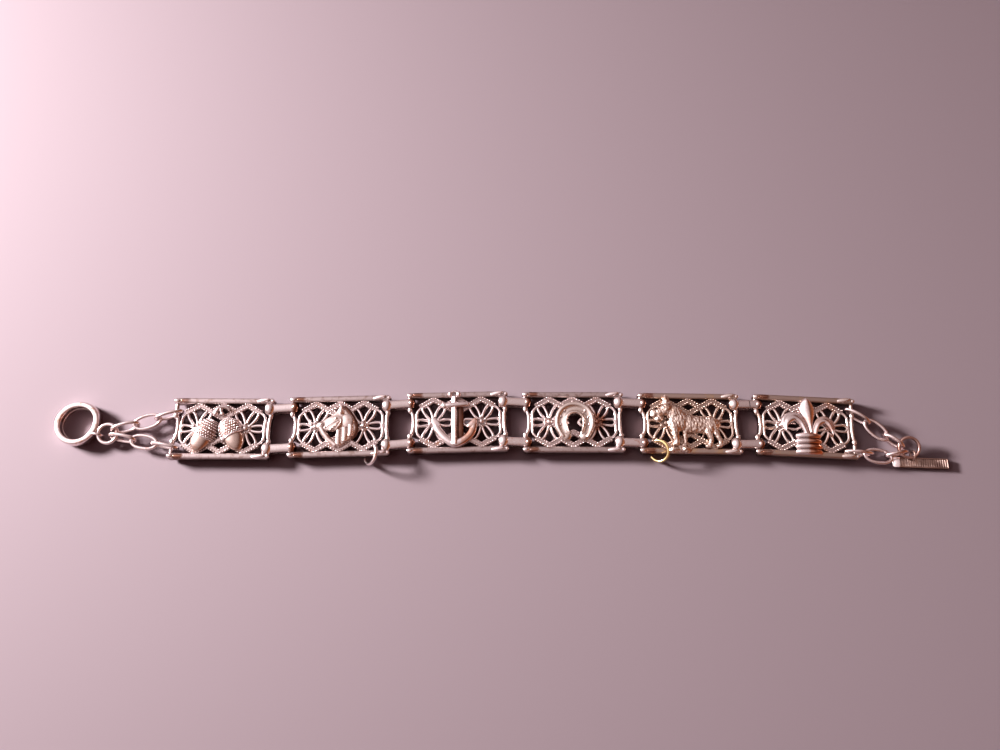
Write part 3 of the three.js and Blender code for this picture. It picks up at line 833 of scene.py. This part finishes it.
acorns = Piece()
acorn(acorns, -3.65, -1.95, -28.0)
acorn(acorns, 2.62, -1.7, 30.0)
for stalk, thick in (
    ([(-1.25, 2.5, 2.4), (-1.3, 3.2, 2.8), (-0.9, 3.9, 2.9), (-0.2, 4.35, 2.7), (0.7, 4.4, 2.5),
      (1.5, 3.9, 2.2)], 0.4),
    ([(0.25, 2.6, 2.4), (-0.05, 3.2, 2.8), (-0.25, 3.8, 2.85), (-0.5, 4.2, 2.8)], 0.32),
):
    acorns.add(tapered_bar(smooth_line(stalk, 4), round_section(thick, 10), 0.7))
for knob, size in (((-1.2, 3.05, 2.9), 0.55), ((0.1, 2.95, 2.75), 0.42), ((-0.9, 3.75, 3.0), 0.42)):
    acorns.add(ball(knob, (size, size, size * 0.8)))
finish_figure(acorns, "acorns", [silver, nut_silver, tarnished])

# %% [markdown]
# ## The horse head
# A horse's head in profile with a bridle, a rein and a combed mane. It was cast, so soft forms run
# into each other: overlapping balls, plates and rods are joined into one skin by voxels. The
# bridle and the strands of the mane are laid on before the skin is made, which softens their
# roots. The gap between the jaw, the neck and the rein stays open.

# %% Cast parts
def smoothed(bm, factor):
    bmesh.ops.smooth_vert(bm, verts=bm.verts, factor=factor, use_axis_x=True, use_axis_y=True,
                          use_axis_z=True)


def cast(parts, grain, smoothing):
    """Joins overlapping parts into one skin, as a mould would, by voxels of size grain."""
    gathered = Piece()
    for part in parts:
        gathered.add(part)
    mesh = bpy.data.meshes.new("casting")
    gathered.bm.to_mesh(mesh)
    gathered.bm.free()
    rough = put_in_scene("casting", mesh)
    remesh = rough.modifiers.new("skin", "REMESH")
    remesh.mode = "VOXEL"
    remesh.voxel_size = grain
    depsgraph = bpy.context.evaluated_depsgraph_get()
    skin = bpy.data.meshes.new_from_object(rough.evaluated_get(depsgraph))
    bpy.data.objects.remove(rough)
    bm = bmesh.new()
    bm.from_mesh(skin)
    bpy.data.meshes.remove(skin)
    for _ in range(smoothing):
        smoothed(bm, 0.5)
    bm.normal_update()
    return bm


# %% Horse head
NECK = [
    (1.0, 3.9), (2.9, 1.35), (3.7, -0.6), (3.3, -1.9), (2.5, -3.0), (1.3, -3.9), (0.2, -4.6),
    (-0.4, -4.4), (-0.5, -1.4), (0.2, 0.6),
]
FACE = [
    (0.5, 4.6), (1.0, 3.6), (1.1, 2.3), (0.9, 1.0), (0.4, -0.5), (-0.3, -1.2), (-1.6, -1.35),
    (-3.1, -1.05), (-4.1, -0.3), (-4.2, 0.35), (-2.9, 1.3), (-1.6, 2.1), (-0.6, 2.9), (0.0, 3.9),
]
head_parts = [
    plate(NECK, 1.4, 2.75, 0.3, 3),
    plate(FACE, 1.4, 3.0, 0.4, 3),
    ball((-0.9, 0.5, 2.6), (2.3, 1.7, 0.75), 30),
    ball((0.5, 3.3, 2.75), (0.5, 1.2, 0.7), -4),
    ball((-3.65, 0.05, 2.5), (1.1, 0.9, 0.75), 25),
    ball((1.7, 0.9, 2.5), (1.7, 1.5, 0.65), -60),
]
STRANDS = [
    ([(0.1, -0.9), (0.0, -2.3), (0.0, -3.6), (0.1, -4.3)], 1.0),
    ([(1.25, -0.4), (1.3, -1.4), (1.3, -2.6), (1.2, -3.6)], 1.05),
    ([(2.45, 0.1), (2.55, -0.7), (2.5, -1.6), (2.3, -2.6)], 0.95),
]
for strand, thick in STRANDS:
    line = level_line(strand, 2.75, 5)
    head_parts.append(tapered_bar(line, band_section(thick, 0.8, 0.24), 0.7))
rein = level_line([(-3.7, -0.4), (-3.0, -1.7), (-1.85, -3.1), (-0.4, -4.3)], 2.5, 6)
head_parts.append(sweep(rein, band_section(1.25, 1.3, 0.4)))
BRIDLE = [
    [(0.7, 1.3), (-1.0, 0.5), (-2.8, -0.5)],
    [(0.7, 1.1), (-0.6, -0.1), (-1.8, -1.15)],
    [(0.7, 0.9), (0.1, -0.3), (-0.6, -1.2)],
]
for strap in BRIDLE:
    line = smooth_line([(x, y, 3.36 - 0.13 * abs(x + 0.4)) for x, y in strap], 5)
    head_parts.append(sweep(line, round_section(0.1, 8, 1.6)))
for eye_or_nostril in ((-0.5, 1.35, 3.35), (-3.6, 0.2, 3.2)):
    head_parts.append(ball(eye_or_nostril, (0.26, 0.2, 0.16)))
horse = Piece().add(cast(head_parts, 0.08, 2))
# The mane's crest along the right edge is dark brown: painted shade on the side away from the lamp.
mane = smooth_line([(0.95, 4.15, 2.1), (2.1, 2.6, 2.2), (2.95, 1.2, 2.25), (3.5, -0.4, 2.2),
                    (3.35, -1.7, 2.2), (2.6, -2.9, 2.1)], 5)
horse.add(tapered_bar(mane, round_section(0.58, 12, 0.8), 0.5), 1)
finish_figure(horse, "horse_head", [cast_silver, shade_umber], crease=70)

# %% [markdown]
# ## The anchor
# A plain ship's anchor: a flat-faced shank, a stock with a ball at each end, two curved arms
# that end in flukes, and a shackle that hangs over the back rail. The bars are swept, because
# they keep one section as they bend, and the flukes are flat plates with rounded edges.

# %% Anchor
ANCHOR_X = -0.6
anchor = Piece()
shank = [(ANCHOR_X, y, 2.5) for y in (-5.0, -2.5, 1.0, 4.0, 5.2)]
FACETED = [(-0.62, -0.8), (0.62, -0.8), (0.62, 0.45), (0.45, 0.72), (-0.15, 0.85), (-0.62, 0.4)]
anchor.add(sweep(shank, FACETED, [1.2, 1.1, 1.05, 1.0, 0.9]))
stock = smooth_line([(-2.7, 3.3, 2.9), (-1.7, 3.35, 3.0), (ANCHOR_X, 3.4, 3.0),
                     (0.7, 3.5, 2.95), (2.0, 3.55, 2.8)], 4)
anchor.add(tapered_bar(stock, round_section(0.6, 14), 0.85))
# A dark brown band right of the shank is painted shadow, where the shank's shade falls.
flank = [(ANCHOR_X + 1.1, y, 1.95) for y in (3.2, 1.0, -1.0, -3.6)]
anchor.add(sweep(flank, band_section(1.5, 0.9, 0.25)), 1)
for knob, size in (((-2.7, 3.3, 2.9), (0.75, 0.72, 0.65)), ((2.1, 3.55, 2.75), (0.56, 0.52, 0.5))):
    anchor.add(ball(knob, size))
arms = smooth_line([
    (-4.75, 0.1, 2.4), (-4.25, -1.4, 2.4), (-3.1, -3.0, 2.45), (-1.9, -4.1, 2.5),
    (ANCHOR_X, -4.75, 2.5), (1.1, -4.15, 2.5), (2.4, -3.1, 2.45), (3.15, -1.9, 2.4),
    (3.5, -0.6, 2.4),
], 5)
arm_widths = [min(1.0, 0.72 + 0.28 * min(i, len(arms) - 1 - i) / 6) for i in range(len(arms))]
anchor.add(sweep(arms, round_section(0.86, 16, 0.8), arm_widths))
for fluke in (
    [(-5.5, 0.4), (-5.0, 0.95), (-3.85, 0.1), (-3.3, -0.9), (-4.2, -1.6), (-5.2, -0.8)],
    [(3.95, 0.7), (3.35, 0.55), (2.3, -0.5), (1.85, -1.35), (2.5, -1.55), (3.7, -1.2), (4.1, -0.2)],
):
    anchor.add(plate(fluke, 1.9, 2.95, 0.28, 3))
anchor.add(wire_ring(0.72, round_section(0.28, 10), 28), 0, shifted(ANCHOR_X, 5.75, 2.75))
for side in (-1, 1):
    anchor.add(ball((ANCHOR_X + side * 0.92, 5.75, 2.9), (0.52, 0.72, 0.55)))


def shaded_anchor_arm(point):
    """The anchor's right arm gets painted warm shade, as bare metal."""
    return 0.62 * clamped((point.x - 0.1) / 0.8) * (point.y < 2.0)


finish_figure(anchor, "anchor", [thin_plate, shade_umber], rubbed=shaded_anchor_arm)

# %% [markdown]
# ## The horseshoe
# A horseshoe with its heels towards the wearer. Its section has a broad raised outer rim, a
# groove where nail heads stand, and a narrow raised inner rim. The section narrows at the heels,
# so they round off.

# %% Horseshoe
SHOE_SECTION = [
    (-1.38, -0.8), (1.36, -0.8), (1.36, 0.2), (1.28, 0.46), (1.08, 0.64), (0.8, 0.6), (0.62, 0.34),
    (0.5, 0.22), (-0.14, 0.22), (-0.26, 0.42), (-0.5, 0.68), (-0.82, 0.8), (-1.12, 0.7),
    (-1.32, 0.4), (-1.38, 0.1),
]
shoe_line = level_line([
    (-1.5, -3.2), (-2.2, -2.0), (-2.62, -0.5), (-2.35, 1.2), (-1.3, 2.45), (0.3, 2.9),
    (1.95, 2.45), (2.95, 1.2), (3.15, -0.5), (2.8, -2.0), (2.2, -3.2),
], 2.45, 6)
last = len(shoe_line) - 1
from_heel = [min(i, last - i) for i in range(last + 1)]
shoe_widths = [(0.78 + 0.22 * min(1.0, n / 9), min(1.0, 0.8 + 0.1 * n)) for n in from_heel]
horseshoe = Piece().add(sweep(list(reversed(shoe_line)), SHOE_SECTION, shoe_widths))
for end in (shoe_line[0], shoe_line[-1]):
    horseshoe.add(ball((end.x, end.y, 2.2), (1.1, 0.95, 0.72)))
for i in (11, 17, 22, last - 22, last - 17, last - 11):
    nail, after = shoe_line[i], shoe_line[i + 1]
    nail = nail + UP.cross(after - nail).normalized() * 0.15
    horseshoe.add(ball((nail.x, nail.y, 2.78), (0.27, 0.34, 0.26), subdivisions=2), 1)
finish_figure(horseshoe, "horseshoe", [pewter, silver])

# %% [markdown]
# ## The dog
# A curly-coated terrier stands in profile on a scrap of rock, with its forelegs apart and one
# hind leg back. Balls and rods of muscle are joined into one skin, then the coat is raised by
# moving each point along its normal: long curls on the chest and flank, short hair on the legs.

# %% Body and legs
MUSCLES = [
    ((1.6, -0.4, 2.3), (4.8, 1.9, 1.1), 0),
    ((4.1, -0.5, 2.4), (2.0, 2.0, 1.1), 0),
    ((-0.2, -0.1, 2.3), (2.0, 1.9, 1.1), 0),
    ((-2.3, 0.4, 2.5), (2.0, 2.3, 1.1), 15),
    ((-3.4, -0.6, 2.55), (1.4, 2.2, 1.05), 10),
    ((-3.3, 2.0, 2.6), (1.9, 1.7, 1.1), -30),
    ((-4.9, 2.7, 2.75), (1.65, 1.35, 1.0), 15),
    ((-6.3, 2.15, 2.65), (1.4, 0.85, 0.85), 28),
    ((-7.5, 1.75, 2.5), (0.8, 0.95, 0.8), 10),
    ((-6.5, 0.75, 2.5), (1.0, 0.8, 0.75), 25),
    ((-7.9, 2.25, 2.75), (0.34, 0.36, 0.34), 0),
    ((-4.85, 4.6, 2.55), (0.8, 1.45, 0.65), 4),
    ((-4.2, 3.6, 2.5), (0.8, 1.3, 0.7), 20),
    ((6.2, 0.85, 2.3), (0.65, 0.4, 0.4), 15),
]
dog_parts = [ball(*muscle) for muscle in MUSCLES]
LEGS = [
    ([(-3.4, -1.0, 2.7), (-3.3, -2.7, 2.7), (-3.05, -4.2, 2.55), (-3.2, -4.75, 2.45)], 0.82),
    ([(-1.3, -1.3, 2.2), (-1.2, -3.0, 2.2), (-1.15, -4.3, 2.2), (-1.25, -4.8, 2.15)], 0.52),
    ([(3.3, -1.5, 2.7), (3.9, -2.9, 2.75), (4.15, -3.8, 2.6), (3.6, -5.0, 2.4)], 0.58),
    ([(4.9, -1.2, 2.5), (5.5, -2.8, 2.5), (6.1, -4.0, 2.4), (5.9, -4.9, 2.3)], 0.6),
]
for path, thick in LEGS:
    line = smooth_line(path, 5)
    widths = [1.25 - 0.4 * min(1.0, i / 9) + 0.15 * (i > len(line) - 4) for i in range(len(line))]
    dog_parts.append(sweep(line, round_section(thick, 10, 0.95), widths))
    dog_parts.append(ball((path[-1][0] - 0.12, path[-1][1], path[-1][2]), (0.7, 0.42, 0.55)))

# %% Coat and rock
coat = cast(dog_parts, 0.1, 2)
for vert in coat.verts:
    x, y, z = vert.co
    if z < 1.75:
        continue
    head = clamped((-3.9 - x) / 1.5) * clamped(y - 0.5)
    leg = clamped((-2.0 - y) / 1.2)
    curl = 0.13 * (1 - 0.5 * leg) * (1 - 0.2 * head)
    lean = Vector((x * 1.25 + y * 0.45, y * 0.75 - x * 0.15, z * 0.7))
    wave = noise.noise(lean * 2.1) + 0.7 * noise.noise(lean * 4.2 + Vector((3, 1, 7)))
    vert.co += vert.normal * (curl * wave)
smoothed(coat, 0.3)
dog = Piece().add(coat)
ROCKS = [
    ((-2.3, -5.5, 2.0), (2.3, 0.8, 0.8), 0), ((-3.6, -5.6, 2.0), (1.1, 0.8, 0.9), 20),
    ((-1.3, -5.75, 2.0), (1.1, 0.75, 1.0), -15), ((-0.4, -5.6, 2.0), (0.7, 0.6, 0.7), 10),
]
rock = cast([ball(*stone) for stone in ROCKS], 0.14, 1)
for vert in rock.verts:
    vert.co += vert.normal * 0.2 * noise.noise(vert.co * 2.2)
dog.add(rock, 1)
dog.add(ball((-6.0, 2.45, 3.45), (0.2, 0.17, 0.15)))
finish_figure(dog, "dog", [dog_plate, worn_plate], slot="worn_plate", crease=80)

# %% [markdown]
# ## The lily
# A fleur-de-lis: a tall middle petal with a ridge, two side petals that curl over and down, and
# a collar of four stacked bars. The curled petals are swept, with a ribbed section that thins
# towards the tip.

# %% Fleur-de-lis
LILY_Z = 2.35
lily = Piece()
middle_petal = level_line([(0.85, -1.5), (0.75, -0.3), (0.65, 0.9), (0.55, 2.1), (0.42, 3.3),
                           (0.3, 4.5), (0.22, 5.5), (0.18, 6.0)], LILY_Z, 4)
swell = smooth_line([(width, 0, 0) for width in (0.45, 0.55, 0.9, 1.35, 1.6, 1.4, 0.85, 0.2)], 4)
RIDGED = mirrored([(1.0, -0.5), (1.0, 0.0), (0.88, 0.36), (0.66, 0.6), (0.38, 0.78), (0.1, 0.92)])
lily.add(sweep(middle_petal, RIDGED, [(s.x, 0.5 + 0.5 * min(1.0, s.x)) for s in swell]))
RIBBED = [(-1.0, -0.6), (1.0, -0.6), (1.0, 0.1), (0.86, 0.4), (0.62, 0.5), (0.4, 0.46),
          (0.24, 0.54), (0.0, 0.76), (-0.3, 0.86), (-0.62, 0.78), (-0.88, 0.5), (-1.0, 0.1)]
SIDE_PETALS = [
    ([(0.1, -1.9), (-0.4, -0.4), (-1.1, 1.0), (-2.4, 1.8), (-3.7, 1.35), (-4.4, 0.2),
      (-4.5, -1.4)], 1.15),
    ([(1.4, -1.9), (1.8, -0.4), (2.5, 0.8), (3.7, 1.35), (4.75, 0.7), (5.2, -0.5),
      (5.25, -2.1)], 0.95),
]
for points, full in SIDE_PETALS:
    line = level_line(points, LILY_Z + 0.05, 6)
    widths = []
    for i in range(len(line)):
        t = i / (len(line) - 1)
        wide = full * (0.6 + 0.4 * math.sin(math.pi * min(1.0, t * 1.35) * 0.5) ** 1.3)
        wide *= 1.0 if t < 0.7 else max(0.12, 1.0 - ((t - 0.7) / 0.3) ** 1.5)
        widths.append((wide, 0.75 + 0.25 * min(1.0, wide)))
    inner_rib = RIBBED if full < 1.0 else [(-x, z) for x, z in reversed(RIBBED)]
    lily.add(sweep(line, inner_rib, widths))
COLLAR_X = 0.3
COLLAR_BEND = [(-1.0, 1.9), (-0.8, 2.3), (-0.3, 2.62), (0.3, 2.62), (0.8, 2.3), (1.0, 1.9)]
for level, half in ((-2.2, 2.25), (-3.35, 2.35), (-4.5, 2.42), (-5.6, 2.4)):
    bar = smooth_line([(COLLAR_X + half * across, level, z) for across, z in COLLAR_BEND], 4)
    lily.add(tapered_bar(bar, round_section(0.62, 16, 1.1), 0.85, 0.3))
lily.add(plate([(-1.7, -5.9), (2.4, -5.9), (2.5, -1.7), (-1.6, -1.7)], FIGURE_BASE, 2.1, 0.2))


def warm_shade_collar(point):
    """The right of the collar, and less of the right petal, get a warm painted reflection."""
    across = clamped((point.x + 0.6) / 0.9)
    return across * (0.8 if point.y < -1.7 else 0.5)


finish_figure(lily, "fleur_de_lis", [thin_plate], rubbed=warm_shade_collar)

# %% [markdown]
# ## The bands between the panels
# Each band is a strip folded into a long loop round two end bars. Its face is rounded. A round
# knuckle closes it over the bar at each end, so the bars run into the knuckles, out of sight. The
# strip's own ends meet in a seam, which is on top in one band only.

# %% Bands
BAND_STRAIGHT = 2.3
BAND_RADIUS = 0.8
BAND_MIDDLE_Z = 1.18
SEAM_X = 0.7
BAND_SECTION = mirrored([
    (1.0, 0.2), (1.0, 0.02), (0.94, -0.14), (0.78, -0.27), (0.4, -0.35), (0.0, -0.37),
])


def warm_shade_band_end(point):
    """The right end of a band gets a warm painted reflection, as worn copper."""
    return clamped((point.x - 1.6) / 1.2)


def band_width(x):
    return 0.93 + 0.1 * min(1.0, abs(x) / BAND_STRAIGHT) ** 4


def band(seam_on_top):
    top = [BAND_STRAIGHT * i / 8 for i in range(-8, 9)]
    cut = {SEAM_X - 0.03: 0.4, SEAM_X + 0.03: 0.4}
    if seam_on_top:
        top = sorted(top + [SEAM_X - 0.1, *cut, SEAM_X + 0.1])
    points, widths = [], []
    for x in reversed(top):
        points.append((x, 0.0, BAND_RADIUS))
        widths.append((band_width(x), cut.get(x, 1.0) if seam_on_top else 1.0))
    for centre, start in ((-BAND_STRAIGHT, 90), (BAND_STRAIGHT, 270)):
        for step in range(1, 12):
            angle = math.radians(start + 15 * step)
            points.append((centre + BAND_RADIUS * math.cos(angle), 0.0,
                           BAND_RADIUS * math.sin(angle)))
            widths.append((1.04, 1.0))
        if centre < 0:
            for x in (-BAND_STRAIGHT, -1.2, 0.0, 1.2, BAND_STRAIGHT):
                points.append((x, 0.0, -BAND_RADIUS))
                widths.append((band_width(x), 1.0))
    strip = Piece().add(sweep(points, BAND_SECTION, widths, True, across=Vector((0, 1, 0))))
    # The left knuckle takes the brighter silver: a painted highlight on the end that faces the
    # lamp.
    strip.add(ball((-2.55, 0.0, 0.4), (1.2, 1.5, 1.3)), 1)
    return strip.add(ball((2.66, 0.0, 0.2), (0.9, 0.98, 1.25)))


for joint in range(1, 6):
    for side in ("back", "front"):
        node = f"joint_loop_{joint}_{side}"
        place = lying(corners(node)) @ shifted(0, 0, BAND_MIDDLE_Z)
        strip = band(joint == 5 and side == "back")
        strip.finish(f"band_{joint}_{side}", [band_silver, silver], [node], place,
                     rubbed=warm_shade_band_end)

# %% [markdown]
# ## Chains and rings
# A link is a ring of round wire pulled out to an oval. Each is made flat and takes the place and
# lean of its CAD node. The wire must leave room for the next link, or the two would cut into each
# other. Two open rings are left over on the front rails, and rest on the filigree.

# %% Chain links
LINK_WIRE = 0.74


def signed_power(value, power):
    return math.copysign(abs(value) ** power, value)


def oval_link(length, width):
    """A ring whose points all move along X, further the nearer they are to its ends."""
    radius = (width - LINK_WIRE) / 2
    bm = wire_ring(radius, round_section(LINK_WIRE / 2, 12), 40)
    for vert in bm.verts:
        lean = vert.co.x / math.hypot(vert.co.x, vert.co.y)
        vert.co.x += signed_power(lean, 0.75) * (length - width) / 2
    return Piece().add(bm)


for end in ("left", "right"):
    for row in ("back", "front"):
        for number in (1, 2, 3):
            node = f"{end}_chain_{row}_{number}"
            short = end == "right" and number == 3
            link = oval_link(*((5.15, 3.2) if short else (6.25, 3.4)))
            name = f"{end}_{row}_link_{number}"
            link.finish(name, [chain_silver], [node], standing(corners(node)))

# %% Rings
jump = Piece().add(wire_ring(1.96, round_section(0.4, 14), 48))
jump.finish("jump_ring", [chain_silver], ["clasp_jump_ring"],
            standing(corners("clasp_jump_ring")))
catch = Piece()
for level in (-0.12, 0.12):
    catch.add(wire_ring(2.1, round_section(0.29, 14), 48), 0, shifted(0, 0, level))
catch.finish("catch_ring_wire", [copper_ring], ["catch_ring"], standing(corners("catch_ring")))


def open_ring(radius, wire, gap_at, gap):
    angles = [math.radians(gap_at + gap / 2 + (360 - gap) * i / 40) for i in range(41)]
    line = [(radius * math.cos(a), radius * math.sin(a), 0.0) for a in angles]
    return Piece().add(sweep(line, round_section(wire / 2, 12)))


def leaning(x, y, z, lean_x, lean_y):
    return shifted(x, y, z) @ turning(lean_x, "X") @ turning(lean_y, "Y")


brass = open_ring(2.15, 0.62, 164, 110)
brass.finish("loose_brass_ring", [yellow_brass], ["brass_jump_ring"],
             leaning(33.0, -4.65, 1.965, 20, -38), "brass")
open_ring(2.1, 0.72, 142, 125).finish("loose_silver_ring", [chain_silver], ["open_jump_ring"],
                                      leaning(-26.65, -5.3, 2.03, 0, -48))

# %% [markdown]
# ## The clasp
# A spring ring: a flat-topped tube bent round, taller than it is wide. Its bolt is hidden inside,
# so it is one plain ring here, with a small eye for the jump ring.

# %% Clasp
CLASP_RADIUS = 4.03
clasp_low, clasp_high = (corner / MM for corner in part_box("clasp_ring"))
CLASP_X = clasp_low.x + 4.7
CLASP_Y = clasp_high.y - 4.7
angles = [2 * math.pi * (i + 0.5) / 24 for i in range(24)]
tube = [(0.64 * signed_power(math.cos(a), 0.55), 1.15 * signed_power(math.sin(a), 0.55))
        for a in angles]
clasp = Piece().add(wire_ring(CLASP_RADIUS, tube, 72), 0, shifted(0, 0, 1.18))
lip = wire_ring(CLASP_RADIUS - 0.6, round_section(0.13, 8), 72)
clasp.add(lip, 0, shifted(0, 0, 1.0))
eye_place = turning(-28.0) @ shifted(5.2, 0, 1.45) @ turning(18.0) @ turning(90.0, "X")
clasp.add(wire_ring(1.1, round_section(0.3, 10), 28), 0, eye_place)
clasp.finish("spring_ring", [chain_silver], ["clasp_ring"], shifted(CLASP_X, CLASP_Y, 0))

# %% [markdown]
# ## The tag
# A small flat bar on an eye, with its left end bent down. Its face is left bare of lettering:
# fine upright reeding fills it, inside a raised border.

# %% Tag
tag_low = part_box("hang_tag")[0] / MM
TAG_HALF = 5.7
REEDS = 20
REED_SPACING = 0.48
tag = Piece().add(plate([(-4.4, -1.05), (TAG_HALF, -1.05), (TAG_HALF, 1.05), (-4.4, 1.05)],
                        0.12, 0.72, 0.08))
nose = plate([(-4.35, -1.05), (-4.35, 1.05), (-5.4, 1.05), (-TAG_HALF, 0.7), (-TAG_HALF, -0.7),
              (-5.4, -1.05)], 0.12, 0.95, 0.12)
for vert in nose.verts:
    if vert.co.z > 0.5:
        vert.co.z -= max(0.0, -4.4 - vert.co.x) * 0.4
tag.add(nose, 1)
border = [((-4.35, y), (TAG_HALF - 0.1, y)) for y in (-0.95, 0.95)]
border.append(((TAG_HALF - 0.12, -0.95), (TAG_HALF - 0.12, 0.95)))
for ends in border:
    tag.add(sweep([(x, y, 0.76) for x, y in ends], round_section(0.12, 8)))
for x in (-4.0 + REED_SPACING * i for i in range(REEDS)):
    tag.add(sweep([(x, -0.78, 0.7), (x, 0.78, 0.7)], round_section(0.13, 6)))
tag.add(wire_ring(0.9, round_section(0.22, 10), 24), 0,
        shifted(-1.8, 1.42, 1.4) @ turning(90.0, "Y"))
tag.finish("hang_tag_bar", [dull_tag, chain_silver], ["hang_tag"],
           shifted(tag_low.x + 5.78, tag_low.y + 1.62, 0) @ turning(-2.0))

# %% [markdown]
# ## The end
# The pieces are counted, with their triangles. The dressed bracelet must stay inside the box of
# its CAD parts.

# %% Close the scene
print("Pieces:", len(totals), "triangles:", sum(totals))
